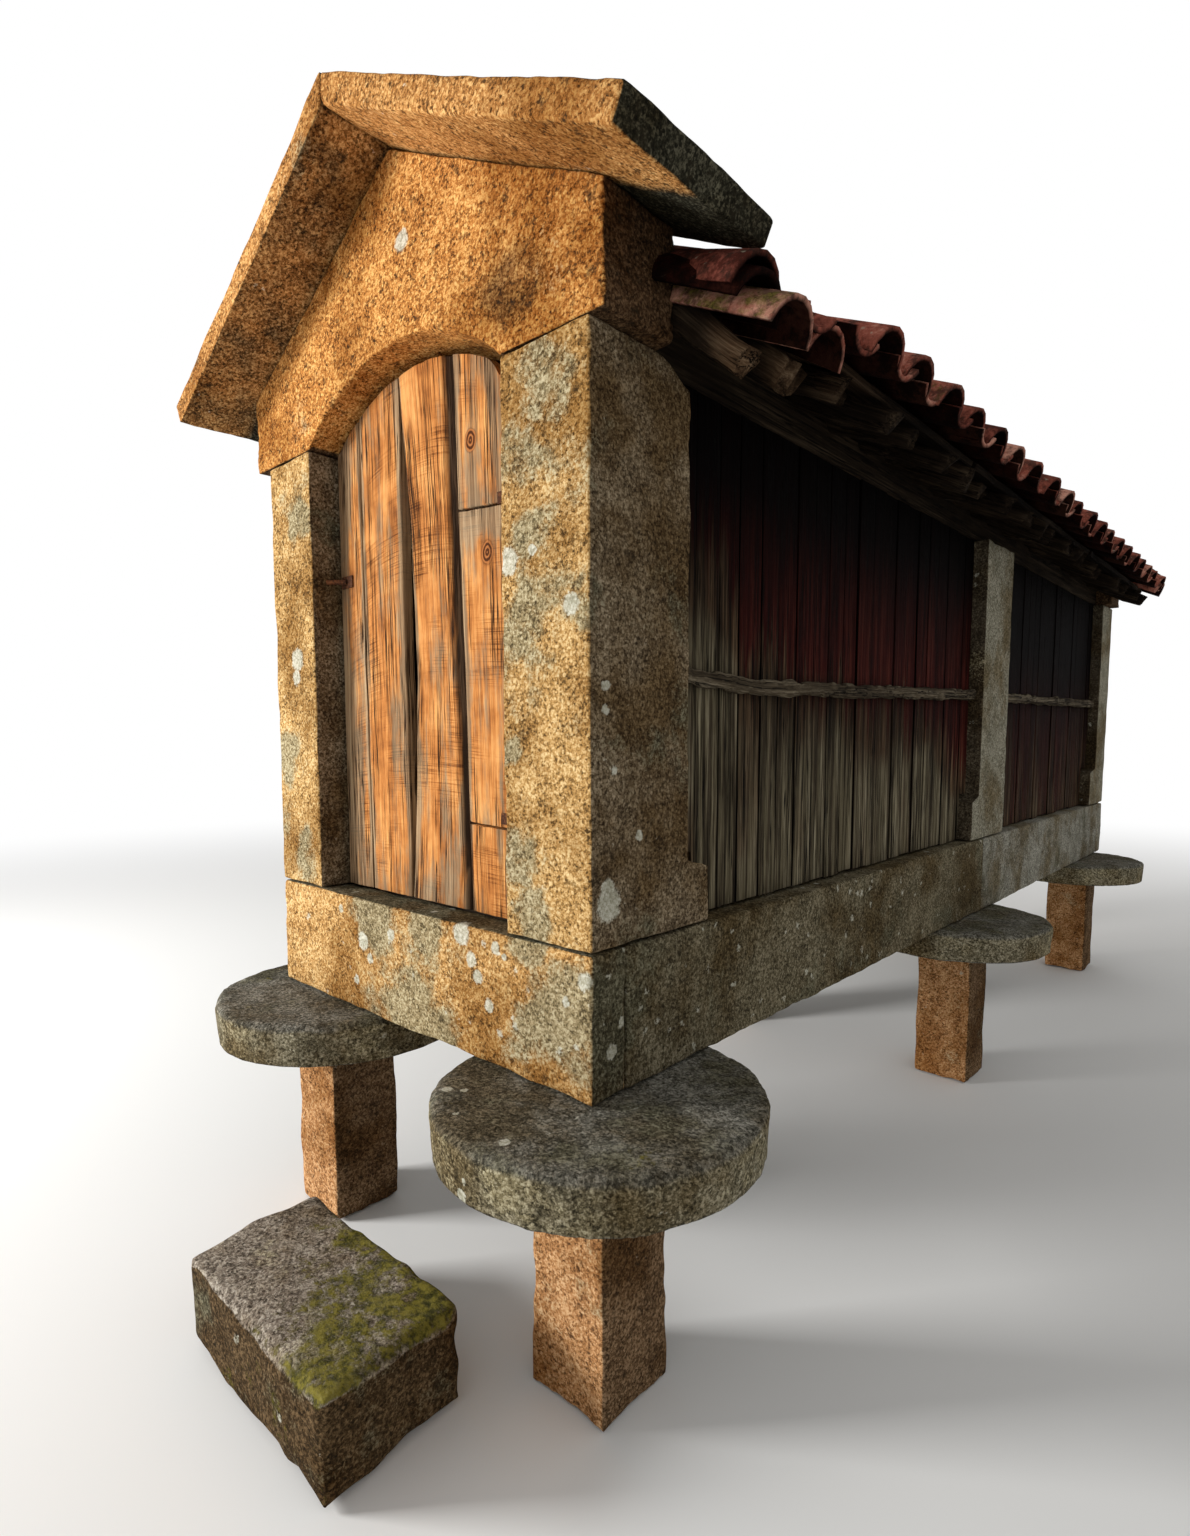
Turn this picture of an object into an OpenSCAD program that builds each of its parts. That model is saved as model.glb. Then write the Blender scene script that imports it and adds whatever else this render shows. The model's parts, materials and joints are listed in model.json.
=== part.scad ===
/* [Body] */
// Width over the outer faces of the posts and the end sills
body_w = 1588; // [1400:1:1900]
// Length over the two end sills
body_l = 5925; // [5400:5:6600]

/* [Pillars and cap discs] */
// Side of a square pillar
pillar_w = 270; // [200:1:330]
// Height of a pillar from the lowest ground to its disc
pillar_h = 685; // [400:1:900]
// Worn chamfer on the upright edges of a pillar
pillar_chamfer = 16; // [4:1:30]
// Radius of a round cap stone
disc_r = 451; // [400:1:460]
// Radius of a cap stone's narrower underside
disc_foot_r = 440; // [380:1:450]
// Thickness of a round cap stone
disc_t = 143; // [100:1:180]
// Radius of the rounded upper rim of a cap stone
disc_round = 38; // [10:1:50]
// Distance of the right row's centre line inside the right outer face
disc_inset_right = 80; // [60:1:200]
// Distance of the left row's centre line inside the left outer face
disc_inset_left = 223; // [80:1:260]
// Distance of the front discs' centres behind the front face
disc_front = 115; // [80:1:300]
// Distance of the middle discs' centres before the joint of the side sills
disc_middle = 173; // [0:1:250]
// Distance of the rear discs' centres before the rear face
disc_rear = 525; // [300:1:700]

/* [Sills] */
// Height of the sill stones
sill_h = 386; // [300:1:450]
// Width of a side sill stone
sill_w = 320; // [320:1:380]
// Depth of an end sill stone
end_sill_d = 135; // [120:1:200]
// Place of the joint between the two stones of a side sill
sill_joint = 3006; // [2900:1:3200]
// Width of the ledge cut for the floor boards
ledge_w = 50; // [30:1:80]
// Thickness of the floor boards
floor_t = 35; // [25:1:45]

/* [Posts] */
// Height of the posts above the sills
post_h = 1500; // [1400:5:1700]
// Width of the front right post, which is the door's right jamb
post_w_right = 320; // [280:1:320]
// Width of the front left post, which is the door's left jamb
post_w_left = 290; // [280:1:320]
// Width of the middle posts
post_w_middle = 300; // [240:1:320]
// Depth of a front post
front_post_d = 402; // [360:1:450]
// Depth of a middle post
middle_post_d = 430; // [350:1:480]
// Depth of a rear post
rear_post_d = 310; // [300:1:400]
// Reach of the middle posts before the joint of the side sills
middle_post_reach = 113; // [60:1:300]
// Reach of a foot beyond the front post
front_foot = 103; // [60:1:130]
// Reach of a foot beyond the middle post
middle_foot = 96; // [60:1:130]
// Reach of a foot beyond the rear post
rear_foot = 157; // [60:1:170]
// Height of the front feet
front_foot_h = 190; // [120:1:300]
// Height of the middle feet
middle_foot_h = 225; // [120:1:300]
// Height of the rear feet
rear_foot_h = 277; // [120:1:300]
// Height of the sloped shoulder on top of a foot
shoulder_h = 30; // [10:1:60]
// Drop of the cut at the back of a front post's head
head_cut = 50; // [20:1:90]

/* [Gables] */
// Depth of a gable stone
gable_d = 270; // [220:1:290]
// Overhang of a gable stone past the right outer face
gable_over_right = 45; // [0:1:100]
// Overhang of a gable stone past the left outer face
gable_over_left = 90; // [0:1:110]
// Height of the ridge point of a gable stone above the post tops
gable_h = 718; // [660:1:800]
// Rise of the arch over the door
arch_rise = 183; // [120:1:230]
// Pitch of the roof in degrees
pitch = 28; // [24:0.5:30]
// Thickness of a raking cap slab
slab_t = 78; // [60:1:100]
// Overhang of a cap slab past the posts' outer faces
slab_over = 270; // [200:1:320]
// Reach of a cap slab before the gable's face
slab_front = 205; // [120:1:240]
// Reach of a cap slab over the tiles behind the gable stone
slab_back = 70; // [20:1:120]
// Joint left under the cap slabs and between the gable stones and the roof
bed_joint = 0.3; // [0.1:0.1:2]

/* [Side walls] */
// Recess of the boards behind the posts' outer faces
board_recess = 65; // [40:1:90]
// Thickness of the wall boards
board_t = 28; // [20:1:40]
// Height of the middle rail's underside above the sills at the front posts
rail_z = 686; // [500:1:900]
// Rise of the middle rail over each bay
rail_rise = 27; // [0:1:60]
// Sag of the middle rail in each metre of a bay
rail_sag = 8; // [0:1:16]
// Height of the middle rail
rail_h = 38; // [25:1:60]
// Thickness of the middle rail in front of the boards
rail_t = 32; // [20:1:38]

/* [Roof] */
// Reach of the tile tips past the posts' outer faces
eave_over = 375; // [330:1:420]
// Reach of the rafter tails past the posts' outer faces
tail_over = 270; // [120:1:300]
// Reach of the roof boards past the posts' outer faces
sheath_over = 320; // [200:1:325]
// Space between the cap slabs' underside and the tile tops
tile_gap = 12; // [5:1:30]
// Height of a course of barrel tiles from trough to crown
tile_rise = 75; // [50:1:90]
// Thickness of a clay tile
tile_t = 16; // [12:1:22]
// Spacing of the tile rows
tile_pitch = 240; // [200:5:300]
// Radius of a ridge tile
ridge_r = 110; // [90:1:130]
// Thickness of the roof boards
sheath_t = 24; // [18:1:30]
// Depth of a rafter
rafter_d = 84; // [70:1:110]
// Width of a rafter
rafter_w = 64; // [50:1:90]
// Difference between the longest and the shortest broken rafter tail
tail_break = 70; // [0:1:90]
// Number of rafter pairs
rafter_count = 22; // [16:1:26]
// Width of a wall plate
plate_w = 120; // [90:1:150]
// Height of a wall plate
plate_h = 120; // [120:1:150]
// Width of the ridge beam
ridge_beam_w = 100; // [70:1:130]
// Height of the ridge beam
ridge_beam_h = 140; // [100:1:180]
// Space left between the two slopes' timbers over the ridge beam
ridge_joint = 2; // [1:0.5:6]
// Depth of a rafter's seat on the ridge beam
beam_seat = 10; // [4:1:20]
// Distance of the end rafters from the gable stones
end_rafter_gap = 10; // [2:1:60]

/* [Door] */
// Depth of the door's face behind the posts' front face
door_recess = 100; // [80:1:130]
// Thickness of the door planks
plank_t = 38; // [28:1:45]
// Widths of the three planks from the latch side
plank_widths = [150, 235, 240];
// Heights above the sill of the cuts that part the last plank into three lengths
plank_cuts = [268, 1198];
// Width of the cuts in the last plank
cut_gap = 3; // [1:1:6]
// Gap between neighbouring planks
plank_gap = 14; // [6:1:20]
// Gap at the hinge jamb
hinge_gap = 6; // [5:1:10]
// Gap at the latch jamb
latch_gap = 12; // [8:1:20]
// Gap under the door
foot_gap = 8; // [5:1:15]
// Gap under the arch
arch_gap = 24; // [10:1:40]
// Clearance kept while the door swings
swing_gap = 6; // [5:1:12]
// Height of a ledge across the back of the door
ledge_h = 110; // [80:1:140]
// Thickness of a ledge across the back of the door
ledge_t = 28; // [20:1:40]
// Distance of a ledge's ends inside the door's edges
ledge_inset = 40; // [25:1:80]
// Height of the lower hinge above the sill
hinge_low = 300; // [200:1:400]
// Height of the upper hinge above the sill
hinge_high = 1190; // [1000:1:1250]
// Length of a hinge strap
strap_l = 100; // [80:1:260]
// Height of a hinge strap
strap_h = 32; // [24:1:40]
// Thickness of a hinge strap
strap_t = 5; // [4:1:6]
// Radius of a hinge pin
pin_r = 7; // [5:0.5:9]
// Wall of a hinge eye
eye_wall = 4; // [3:0.5:5]
// Running clearance between a hinge pin and its eye
pin_play = 0.08; // [0.05:0.01:0.1]
// Height of the bracket that carries a hinge pin
bracket_h = 14; // [10:1:20]
// Height of a hinge pin's tip above its eye
pin_tip = 6; // [2:1:12]
// Gap between a hinge eye and its bracket
eye_seat = 0.3; // [0.1:0.1:0.5]
// Height of the latch above the sill
latch_z = 1065; // [900:1:1200]
// Radius of the latch rod
latch_r = 8; // [5:0.5:10]
// Length of the latch rod
latch_l = 68; // [50:1:76]
// Angle of the latch rod out of the door's face
latch_a = 42; // [30:1:60]
// Width of the iron plate that holds the latch rod
latch_plate_w = 66; // [50:1:90]
// Height of the iron plate that holds the latch rod
latch_plate_h = 40; // [30:1:60]
// Thickness of the iron plate that holds the latch rod
latch_plate_t = 4; // [3:0.5:6]

/* [Step] */
// Width of the step block
step_w = 784; // [600:1:900]
// Depth of the step block
step_d = 420; // [300:1:450]
// Height of the step block
step_h = 285; // [180:1:350]
// Gap between the step block and the front face of the sill
step_gap = 185; // [150:1:300]
// Distance of the step block's centre right of the middle
step_x = 134; // [-100:1:250]
// Sideways lean of the step block's plan over its depth
step_skew = 20; // [0:1:80]

/* [Hidden] */
$fn = 96;
half_w = body_w / 2;
front_y = -(body_l + slab_front - step_gap - step_d) / 2;
rear_y = front_y + body_l;
disc_z = pillar_h;
sill_z = disc_z + disc_t;
floor_z = sill_z + sill_h;
post_top = floor_z + post_h;
ridge_z = post_top + gable_h;
disc_x_right = half_w - disc_inset_right;
disc_x_left = disc_inset_left - half_w;
disc_y_front = front_y + disc_front;
disc_y_middle = front_y + sill_joint - disc_middle;
disc_y_rear = rear_y - disc_rear;
jamb_right = half_w - post_w_right;
jamb_left = post_w_left - half_w;
arch_half = (jamb_right - jamb_left) / 2;
arch_x = (jamb_right + jamb_left) / 2;
arch_r = (arch_half * arch_half + arch_rise * arch_rise) / (2 * arch_rise);
arch_z = post_top + arch_rise - arch_r;
middle_front = front_y + sill_joint - middle_post_reach;
middle_back = middle_front + middle_post_d;
board_out = half_w - board_recess;
board_in = board_out - board_t;
tile_top = tile_gap;
tile_under = tile_top + tile_rise;
sheath_under = tile_under + sheath_t;
rafter_under = sheath_under + rafter_d;
plate_out = board_out;
plate_in = plate_out - plate_w;
ridge_beam_top = ridge_z - rafter_under / cos(pitch) - ridge_beam_w / 2 * tan(pitch) + beam_seat;
roof_front = front_y + gable_d;
roof_back = rear_y - gable_d;
roof_run = roof_back - roof_front;
cover_front = roof_front + bed_joint;
cover_back = roof_back - bed_joint;
cover_run = cover_back - cover_front;
tile_rows = round(cover_run / tile_pitch);
ridge_start = front_y + gable_d + slab_back;
ridge_end = rear_y - gable_d - slab_back;
eye_r = pin_r + pin_play + eye_wall;
hinge_x = jamb_right - eye_r - swing_gap;
door_front = front_y + door_recess;
hinge_y = door_front - eye_r;
swing_bend = hinge_x - (hinge_y - front_y);
door_right = jamb_right - hinge_gap;
door_left = jamb_left + latch_gap;
door_low = floor_z + foot_gap;
wave_steps = 10;
plank_steps = 8;
arch_steps = 16;
rail_steps = 12;
chance = 137;
over = 1;
metre = 1000;
half_turn = 180;

granite = [0.62, 0.53, 0.38];
grey_granite = [0.50, 0.49, 0.46];
pillar_granite = [0.66, 0.50, 0.36];
old_wood = [0.45, 0.40, 0.34];
red_wood = [0.33, 0.14, 0.11];
door_wood = [0.72, 0.49, 0.26];
clay = [0.60, 0.38, 0.28];
iron = [0.28, 0.19, 0.15];

// Copies the children to the left side when side is -1
module on_side(side) mirror([side < 0 ? 1 : 0, 0, 0]) children();

// Extrudes a drawing of the XZ plane from y0 to y1
module along_y(y0, y1) translate([0, y1, 0]) rotate([90, 0, 0]) linear_extrude(y1 - y0) children();

// Extrudes a drawing of the YZ plane from x0 to x1
module along_x(x0, x1) translate([x0, 0, 0]) rotate([90, 0, 90]) linear_extrude(x1 - x0) children();

// A box given by its lowest and highest corners
module block(low, high) translate(low) cube(high - low);

// Pillars and discs
module pillar(x, y) color(pillar_granite) translate([x, y, 0]) linear_extrude(pillar_h) {
    h = pillar_w / 2;
    c = pillar_chamfer;
    polygon([
        [c - h, -h], [h - c, -h], [h, c - h], [h, h - c],
        [h - c, h], [c - h, h], [-h, h - c], [-h, c - h]
    ]);
}

module disc(x, y) color(grey_granite) translate([x, y, disc_z]) rotate_extrude() polygon(concat(
    [[0, 0], [disc_foot_r, 0]],
    [for (a = [0:15:90]) [
        disc_r - disc_round + disc_round * cos(a),
        disc_t - disc_round + disc_round * sin(a)
    ]],
    [[0, disc_t]]
));

module step_stone() color(granite)
    translate([step_x, front_y - step_gap - step_d, 0]) linear_extrude(step_h) polygon([
        [(step_skew - step_w) / 2, 0], [(step_skew + step_w) / 2, 0],
        [(step_w - step_skew) / 2, step_d], [-(step_w + step_skew) / 2, step_d]
    ]);

// Sills and floor
module end_sill(y0) color(granite) block([-half_w, y0, sill_z], [half_w, y0 + end_sill_d, floor_z]);

module side_sill(side, y0, y1) color(grey_granite) on_side(side) along_y(y0, y1) polygon([
    [half_w - sill_w, sill_z], [half_w, sill_z], [half_w, floor_z], [half_w - sill_w + ledge_w, floor_z],
    [half_w - sill_w + ledge_w, floor_z - floor_t], [half_w - sill_w, floor_z - floor_t]
]);

module floor_boards() color(old_wood) block(
    [sill_w - ledge_w - half_w, front_y + end_sill_d, floor_z - floor_t],
    [half_w - sill_w + ledge_w, rear_y - end_sill_d, floor_z]
);

module side_sill_front(side) side_sill(side, front_y + end_sill_d, front_y + sill_joint);

module side_sill_rear(side) side_sill(side, front_y + sill_joint, rear_y - end_sill_d);

// Posts, each with a foot that steps out along the sill
module post_front(side, w) color(granite) on_side(side) along_x(half_w - w, half_w) polygon([
    [front_y, floor_z], [front_y + front_post_d + front_foot, floor_z],
    [front_y + front_post_d + front_foot, floor_z + front_foot_h - shoulder_h],
    [front_y + front_post_d, floor_z + front_foot_h],
    [front_y + front_post_d, post_top - head_cut], [front_y + gable_d, post_top], [front_y, post_top]
]);

module post_middle(side) color(grey_granite) on_side(side) along_x(half_w - post_w_middle, half_w) polygon([
    [middle_front - middle_foot, floor_z], [middle_back, floor_z], [middle_back, post_top],
    [middle_front, post_top], [middle_front, floor_z + middle_foot_h],
    [middle_front - middle_foot, floor_z + middle_foot_h - shoulder_h]
]);

module post_rear(side, w) color(grey_granite) on_side(side) along_x(half_w - w, half_w) polygon([
    [rear_y, floor_z], [rear_y - rear_post_d - rear_foot, floor_z],
    [rear_y - rear_post_d - rear_foot, floor_z + rear_foot_h - shoulder_h],
    [rear_y - rear_post_d, floor_z + rear_foot_h], [rear_y - rear_post_d, post_top], [rear_y, post_top]
]);

// Height of the cap slabs' underside at a distance from the middle
function under_slab(x) = ridge_z - abs(x) * tan(pitch);

module gable(y0) color(granite) difference() {
    along_y(y0, y0 + gable_d) polygon([
        [-half_w - gable_over_left, post_top], [half_w + gable_over_right, post_top],
        [half_w + gable_over_right, under_slab(half_w + gable_over_right)], [0, ridge_z],
        [-half_w - gable_over_left, under_slab(half_w + gable_over_left)]
    ]);
    translate([arch_x, y0 - over, arch_z]) rotate([-90, 0, 0]) cylinder(r = arch_r, h = gable_d + 2 * over);
}

// Places a drawing on the right slope, with X down the slope from the ridge and Z square to it
module on_slope(side) on_side(side) translate([0, 0, ridge_z]) rotate([0, pitch, 0]) children();

// A layer of the slope between two depths under the slab plane, cut plumb beside the ridge line
module slope_layer(top, under, reach, y0, y1, joint = 0) {
    plumb = joint / 2 / cos(pitch);
    end = (reach + top * sin(pitch)) / cos(pitch);
    along_y(y0, y1) polygon([
        [under * tan(pitch) + plumb, -under], [end, -under], [end, -top], [top * tan(pitch) + plumb, -top]
    ]);
}

module cap_slab(side, y0, y1) color(granite) on_slope(side)
    slope_layer(-slab_t - bed_joint, -bed_joint, half_w + slab_over, y0, y1);

module cap_slab_front(side) cap_slab(side, front_y - slab_front, roof_front + slab_back);

module cap_slab_rear(side) cap_slab(side, roof_back - slab_back, rear_y + slab_front);

// Outline of a wall panel between two posts, notched round their feet
module wall_panel(side, y0, foot0, foot0_h, y1, foot1, foot1_h) color(red_wood) on_side(side)
    along_x(board_in, board_out) polygon([
        [y0 + foot0, floor_z], [y1 - foot1, floor_z],
        [y1 - foot1, floor_z + foot1_h - (foot1 > 0 ? shoulder_h : 0)], [y1, floor_z + foot1_h],
        [y1, post_top], [y0, post_top],
        [y0, floor_z + foot0_h], [y0 + foot0, floor_z + foot0_h - (foot0 > 0 ? shoulder_h : 0)]
    ]);

module wall_front(side) wall_panel(
    side, front_y + front_post_d, front_foot, front_foot_h, middle_front, middle_foot, middle_foot_h
);

module wall_rear(side) wall_panel(side, middle_back, 0, 0, rear_y - rear_post_d, rear_foot, rear_foot_h);

// Points along a bay's sagging rail, whose lower edge starts from z and ends higher by the rise
function rail_line(y0, y1, z) = [for (i = [0:rail_steps]) let (share = i / rail_steps) [
    y0 + (y1 - y0) * share,
    z + rail_rise * share - rail_sag * (y1 - y0) / metre * sin(half_turn * share)
]];

// A rail of one bay, counted from the front
module rail(bay, y0, y1) along_x(board_out, board_out + rail_t) {
    z = floor_z + rail_z + bay * rail_rise;
    upper = rail_line(y0, y1, z + rail_h);
    polygon(concat(rail_line(y0, y1, z), [for (i = [rail_steps:-1:0]) upper[i]]));
}

module mid_rails() color(old_wood) for (side = [-1, 1]) on_side(side) {
    rail(0, front_y + front_post_d, middle_front);
    rail(1, middle_back, rear_y - rear_post_d);
}

// Roof timbers
module plate_outline() translate([plate_in, post_top]) square([plate_w, plate_h]);

module wall_plates() color(old_wood) for (side = [-1, 1])
    on_side(side) along_y(roof_front, roof_back) plate_outline();

module ridge_beam_outline() translate([-ridge_beam_w / 2, ridge_beam_top - ridge_beam_h])
    square([ridge_beam_w, ridge_beam_h]);

module ridge_beam() color(old_wood) along_y(roof_front, roof_back) ridge_beam_outline();

// One rafter, seated on the ridge beam and the wall plate, its tail broken short by some length
module rafter(side, y0, short) on_side(side) difference() {
    on_slope(1) slope_layer(
        sheath_under, rafter_under, half_w + tail_over - short, y0, y0 + rafter_w, ridge_joint
    );
    along_y(y0 - over, y0 + rafter_w + over) plate_outline();
    along_y(y0 - over, y0 + rafter_w + over) ridge_beam_outline();
}

// Length that a rafter's tail has lost, different for each rafter
function tail_short(i, side) = tail_break * (0.5 + 0.5 * sin(chance * (i + side)));

module rafters() color(old_wood) for (i = [0:rafter_count - 1])
    for (side = [-1, 1])
        rafter(side, roof_front + end_rafter_gap
            + i * (roof_run - rafter_w - 2 * end_rafter_gap) / (rafter_count - 1), tail_short(i, side));

module roof_boards() color(old_wood) for (side = [-1, 1])
    on_slope(side)
        slope_layer(tile_under, sheath_under, half_w + sheath_over, cover_front, cover_back, ridge_joint);

// Height of the wave of tile rows at a place along the eave, from trough to crown
function wave(y) = (tile_rise - tile_t) * (0.5 - 0.5 * cos(360 * y * tile_rows / cover_run));

module tile_slope(side) color(clay) on_slope(side) {
    start = (tile_under + over) * tan(pitch);
    end = (half_w + eave_over + tile_top * sin(pitch)) / cos(pitch);
    n = tile_rows * wave_steps;
    ys = [for (i = [0:n]) i * cover_run / n];
    along_x(start, end) translate([cover_front, -tile_under]) polygon(concat(
        [for (y = ys) [y, wave(y)]],
        [for (i = [n:-1:0]) [ys[i], wave(ys[i]) + tile_t]]
    ));
}

module ridge_tiles() color(clay) {
    z = ridge_z - tile_top / cos(pitch) - (ridge_r - tile_t) * tan(pitch);
    along_y(ridge_start, ridge_end) translate([0, z]) difference() {
        circle(r = ridge_r);
        circle(r = ridge_r - tile_t);
        translate([-ridge_r - over, -ridge_r - over]) square([2 * (ridge_r + over), ridge_r + over]);
    }
}

// Height of the arch at a place across the opening
function arch_at(x) = arch_z + sqrt(arch_r * arch_r - (x - arch_x) * (x - arch_x));

// Highest line that the swinging door may have at a place, clear of the arch
function swing_top(x) = let (
    u = hinge_x - x,
    v = door_front - hinge_y,
    p = hinge_y - front_y,
    reach = u * u + v * v - p * p
) arch_at(hinge_x - (reach > v * v ? sqrt(reach) : v)) - swing_gap;

function door_top(x) = min(arch_at(x) - arch_gap, swing_top(min(x, hinge_x)));

// Places across a plank, with one where the limit that the swing sets bends
function stops(x0, x1) = x0 < swing_bend && swing_bend < x1
    ? concat(stops(x0, swing_bend), [for (i = [1:plank_steps]) swing_bend + (x1 - swing_bend) * i / plank_steps])
    : [for (i = [0:plank_steps]) x0 + (x1 - x0) * i / plank_steps];

// One door plank between two uprights, its top following the arch
module plank(x0, x1) along_y(door_front, door_front + plank_t) polygon(concat(
    [[x1, door_low], [x0, door_low]],
    [for (x = stops(x0, x1)) [x, door_top(x)]]
));

function plank_start(i) = i == 0 ? door_left : plank_start(i - 1) + plank_widths[i - 1] + plank_gap;

module door_planks() color(door_wood) {
    for (i = [0:len(plank_widths) - 1]) plank(plank_start(i), plank_start(i) + plank_widths[i]);
    difference() {
        plank(plank_start(len(plank_widths)), door_right);
        for (z = plank_cuts) block(
            [plank_start(len(plank_widths)) - over, door_front - over, floor_z + z],
            [door_right + over, door_front + plank_t + over, floor_z + z + cut_gap]
        );
    }
}

module door_ledges() color(door_wood) for (z = [hinge_low, hinge_high]) block(
    [door_left + ledge_inset, door_front + plank_t, floor_z + z - ledge_h / 2],
    [door_right - ledge_inset, door_front + plank_t + ledge_t, floor_z + z + ledge_h / 2]
);

module door_hinges() color(iron) for (z = [hinge_low, hinge_high])
    translate([hinge_x, hinge_y, floor_z + z - strap_h / 2]) difference() {
        union() {
            cylinder(r = eye_r, h = strap_h);
            translate([-strap_l, eye_r - strap_t, 0]) cube([strap_l, strap_t, strap_h]);
        }
        translate([0, 0, -over]) cylinder(r = pin_r + pin_play, h = strap_h + 2 * over);
    }

module hinge_pintles() color(iron) for (z = [hinge_low, hinge_high])
    translate([hinge_x, hinge_y, floor_z + z - strap_h / 2 - eye_seat]) {
        cylinder(r = pin_r, h = strap_h + eye_seat + pin_tip);
        translate([0, 0, -bracket_h]) cylinder(r = pin_r, h = bracket_h);
        translate([0, -pin_r, -bracket_h]) cube([jamb_right - hinge_x, 2 * pin_r, bracket_h]);
    }

module door_latch() color(iron) {
    x = jamb_left + swing_gap + latch_l * cos(latch_a) + latch_r * sin(latch_a);
    translate([x, door_front, floor_z + latch_z]) {
        translate([-latch_plate_w / 2, -latch_plate_t, -latch_plate_h / 2])
            cube([latch_plate_w, latch_plate_t, latch_plate_h]);
        translate([0, -latch_r * cos(latch_a), 0])
            rotate([0, -90, latch_a])
                cylinder(r = latch_r, h = latch_l);
    }
}

module rear_planks() color(door_wood)
    along_y(rear_y - door_recess - plank_t, rear_y - door_recess) polygon(concat(
        [[jamb_left, floor_z], [jamb_right, floor_z]],
        [for (i = [arch_steps:-1:0])
            let (x = jamb_left + (jamb_right - jamb_left) * i / arch_steps)
                [x, max(arch_at(x) - foot_gap, post_top - foot_gap)]]
    ));

pillar(disc_x_right, disc_y_front);  // pillar_front_right
pillar(disc_x_left, disc_y_front);  // pillar_front_left
pillar(disc_x_right, disc_y_middle);  // pillar_middle_right
pillar(disc_x_left, disc_y_middle);  // pillar_middle_left
pillar(disc_x_right, disc_y_rear);  // pillar_rear_right
pillar(disc_x_left, disc_y_rear);  // pillar_rear_left
disc(disc_x_right, disc_y_front);  // disc_front_right
disc(disc_x_left, disc_y_front);  // disc_front_left
disc(disc_x_right, disc_y_middle);  // disc_middle_right
disc(disc_x_left, disc_y_middle);  // disc_middle_left
disc(disc_x_right, disc_y_rear);  // disc_rear_right
disc(disc_x_left, disc_y_rear);  // disc_rear_left
step_stone();
end_sill(front_y);  // front_sill
end_sill(rear_y - end_sill_d);  // rear_sill
side_sill_front(1);  // side_sill_right_front
side_sill_rear(1);  // side_sill_right_rear
side_sill_front(-1);  // side_sill_left_front
side_sill_rear(-1);  // side_sill_left_rear
floor_boards();
post_front(1, post_w_right);  // post_front_right
post_front(-1, post_w_left);  // post_front_left
post_middle(1);  // post_middle_right
post_middle(-1);  // post_middle_left
post_rear(1, post_w_right);  // post_rear_right
post_rear(-1, post_w_left);  // post_rear_left
gable(front_y);  // gable_front
gable(rear_y - gable_d);  // gable_rear
cap_slab_front(1);  // cap_slab_front_right
cap_slab_front(-1);  // cap_slab_front_left
cap_slab_rear(1);  // cap_slab_rear_right
cap_slab_rear(-1);  // cap_slab_rear_left
wall_front(1);  // wall_right_front
wall_rear(1);  // wall_right_rear
wall_front(-1);  // wall_left_front
wall_rear(-1);  // wall_left_rear
mid_rails();
wall_plates();
ridge_beam();
rafters();
roof_boards();
tile_slope(1);  // tiles_right
tile_slope(-1);  // tiles_left
ridge_tiles();
rear_planks();
door_planks();
door_ledges();
door_hinges();
hinge_pintles();
door_latch();
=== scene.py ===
import itertools
import json
import math

import bpy
import numpy as np
from mathutils import Matrix, Vector


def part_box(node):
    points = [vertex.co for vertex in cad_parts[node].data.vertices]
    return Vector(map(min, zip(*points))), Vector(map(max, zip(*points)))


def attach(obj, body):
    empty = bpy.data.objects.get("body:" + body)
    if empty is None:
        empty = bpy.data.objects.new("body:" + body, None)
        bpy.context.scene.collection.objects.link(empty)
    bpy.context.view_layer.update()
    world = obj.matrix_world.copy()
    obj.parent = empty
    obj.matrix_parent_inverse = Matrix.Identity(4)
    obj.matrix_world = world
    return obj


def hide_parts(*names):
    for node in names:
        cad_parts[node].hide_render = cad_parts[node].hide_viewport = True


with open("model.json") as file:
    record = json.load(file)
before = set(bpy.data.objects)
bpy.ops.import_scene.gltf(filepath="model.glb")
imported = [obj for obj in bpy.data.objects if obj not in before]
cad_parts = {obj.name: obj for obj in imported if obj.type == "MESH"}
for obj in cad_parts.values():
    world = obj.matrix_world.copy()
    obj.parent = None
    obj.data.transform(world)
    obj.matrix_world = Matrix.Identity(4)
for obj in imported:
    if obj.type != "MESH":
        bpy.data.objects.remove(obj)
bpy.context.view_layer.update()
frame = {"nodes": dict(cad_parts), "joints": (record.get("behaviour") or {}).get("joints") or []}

# View. The granary is seen from its front right corner, from close by and just above the height of
# its floor, through a wide lens that shows the door face and the long right side together.
VIEW_PLACE = (2.08595, -4.14871, 1.75171)
VIEW_TURN = math.radians(42.66)
VIEW_TILT = math.radians(-5.01)
VIEW_ROLL = math.radians(-0.15)
VIEW_LENS = 18.64
VIEW_SHIFT = 0.0239


def placed(name, data):
    """A new object of the scene that holds a camera, a mesh or a lamp."""
    made = bpy.data.objects.new(name, data)
    bpy.context.scene.collection.objects.link(made)
    return made


camera = placed("camera", bpy.data.cameras.new("camera"))
camera.location = VIEW_PLACE
camera.rotation_euler = (
    Matrix.Rotation(VIEW_TURN, 3, "Z")
    @ Matrix.Rotation(math.pi / 2 + VIEW_TILT, 3, "X")
    @ Matrix.Rotation(VIEW_ROLL, 3, "Z")
).to_euler()
camera.data.lens = VIEW_LENS
camera.data.shift_y = VIEW_SHIFT
bpy.context.scene.camera = camera

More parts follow.
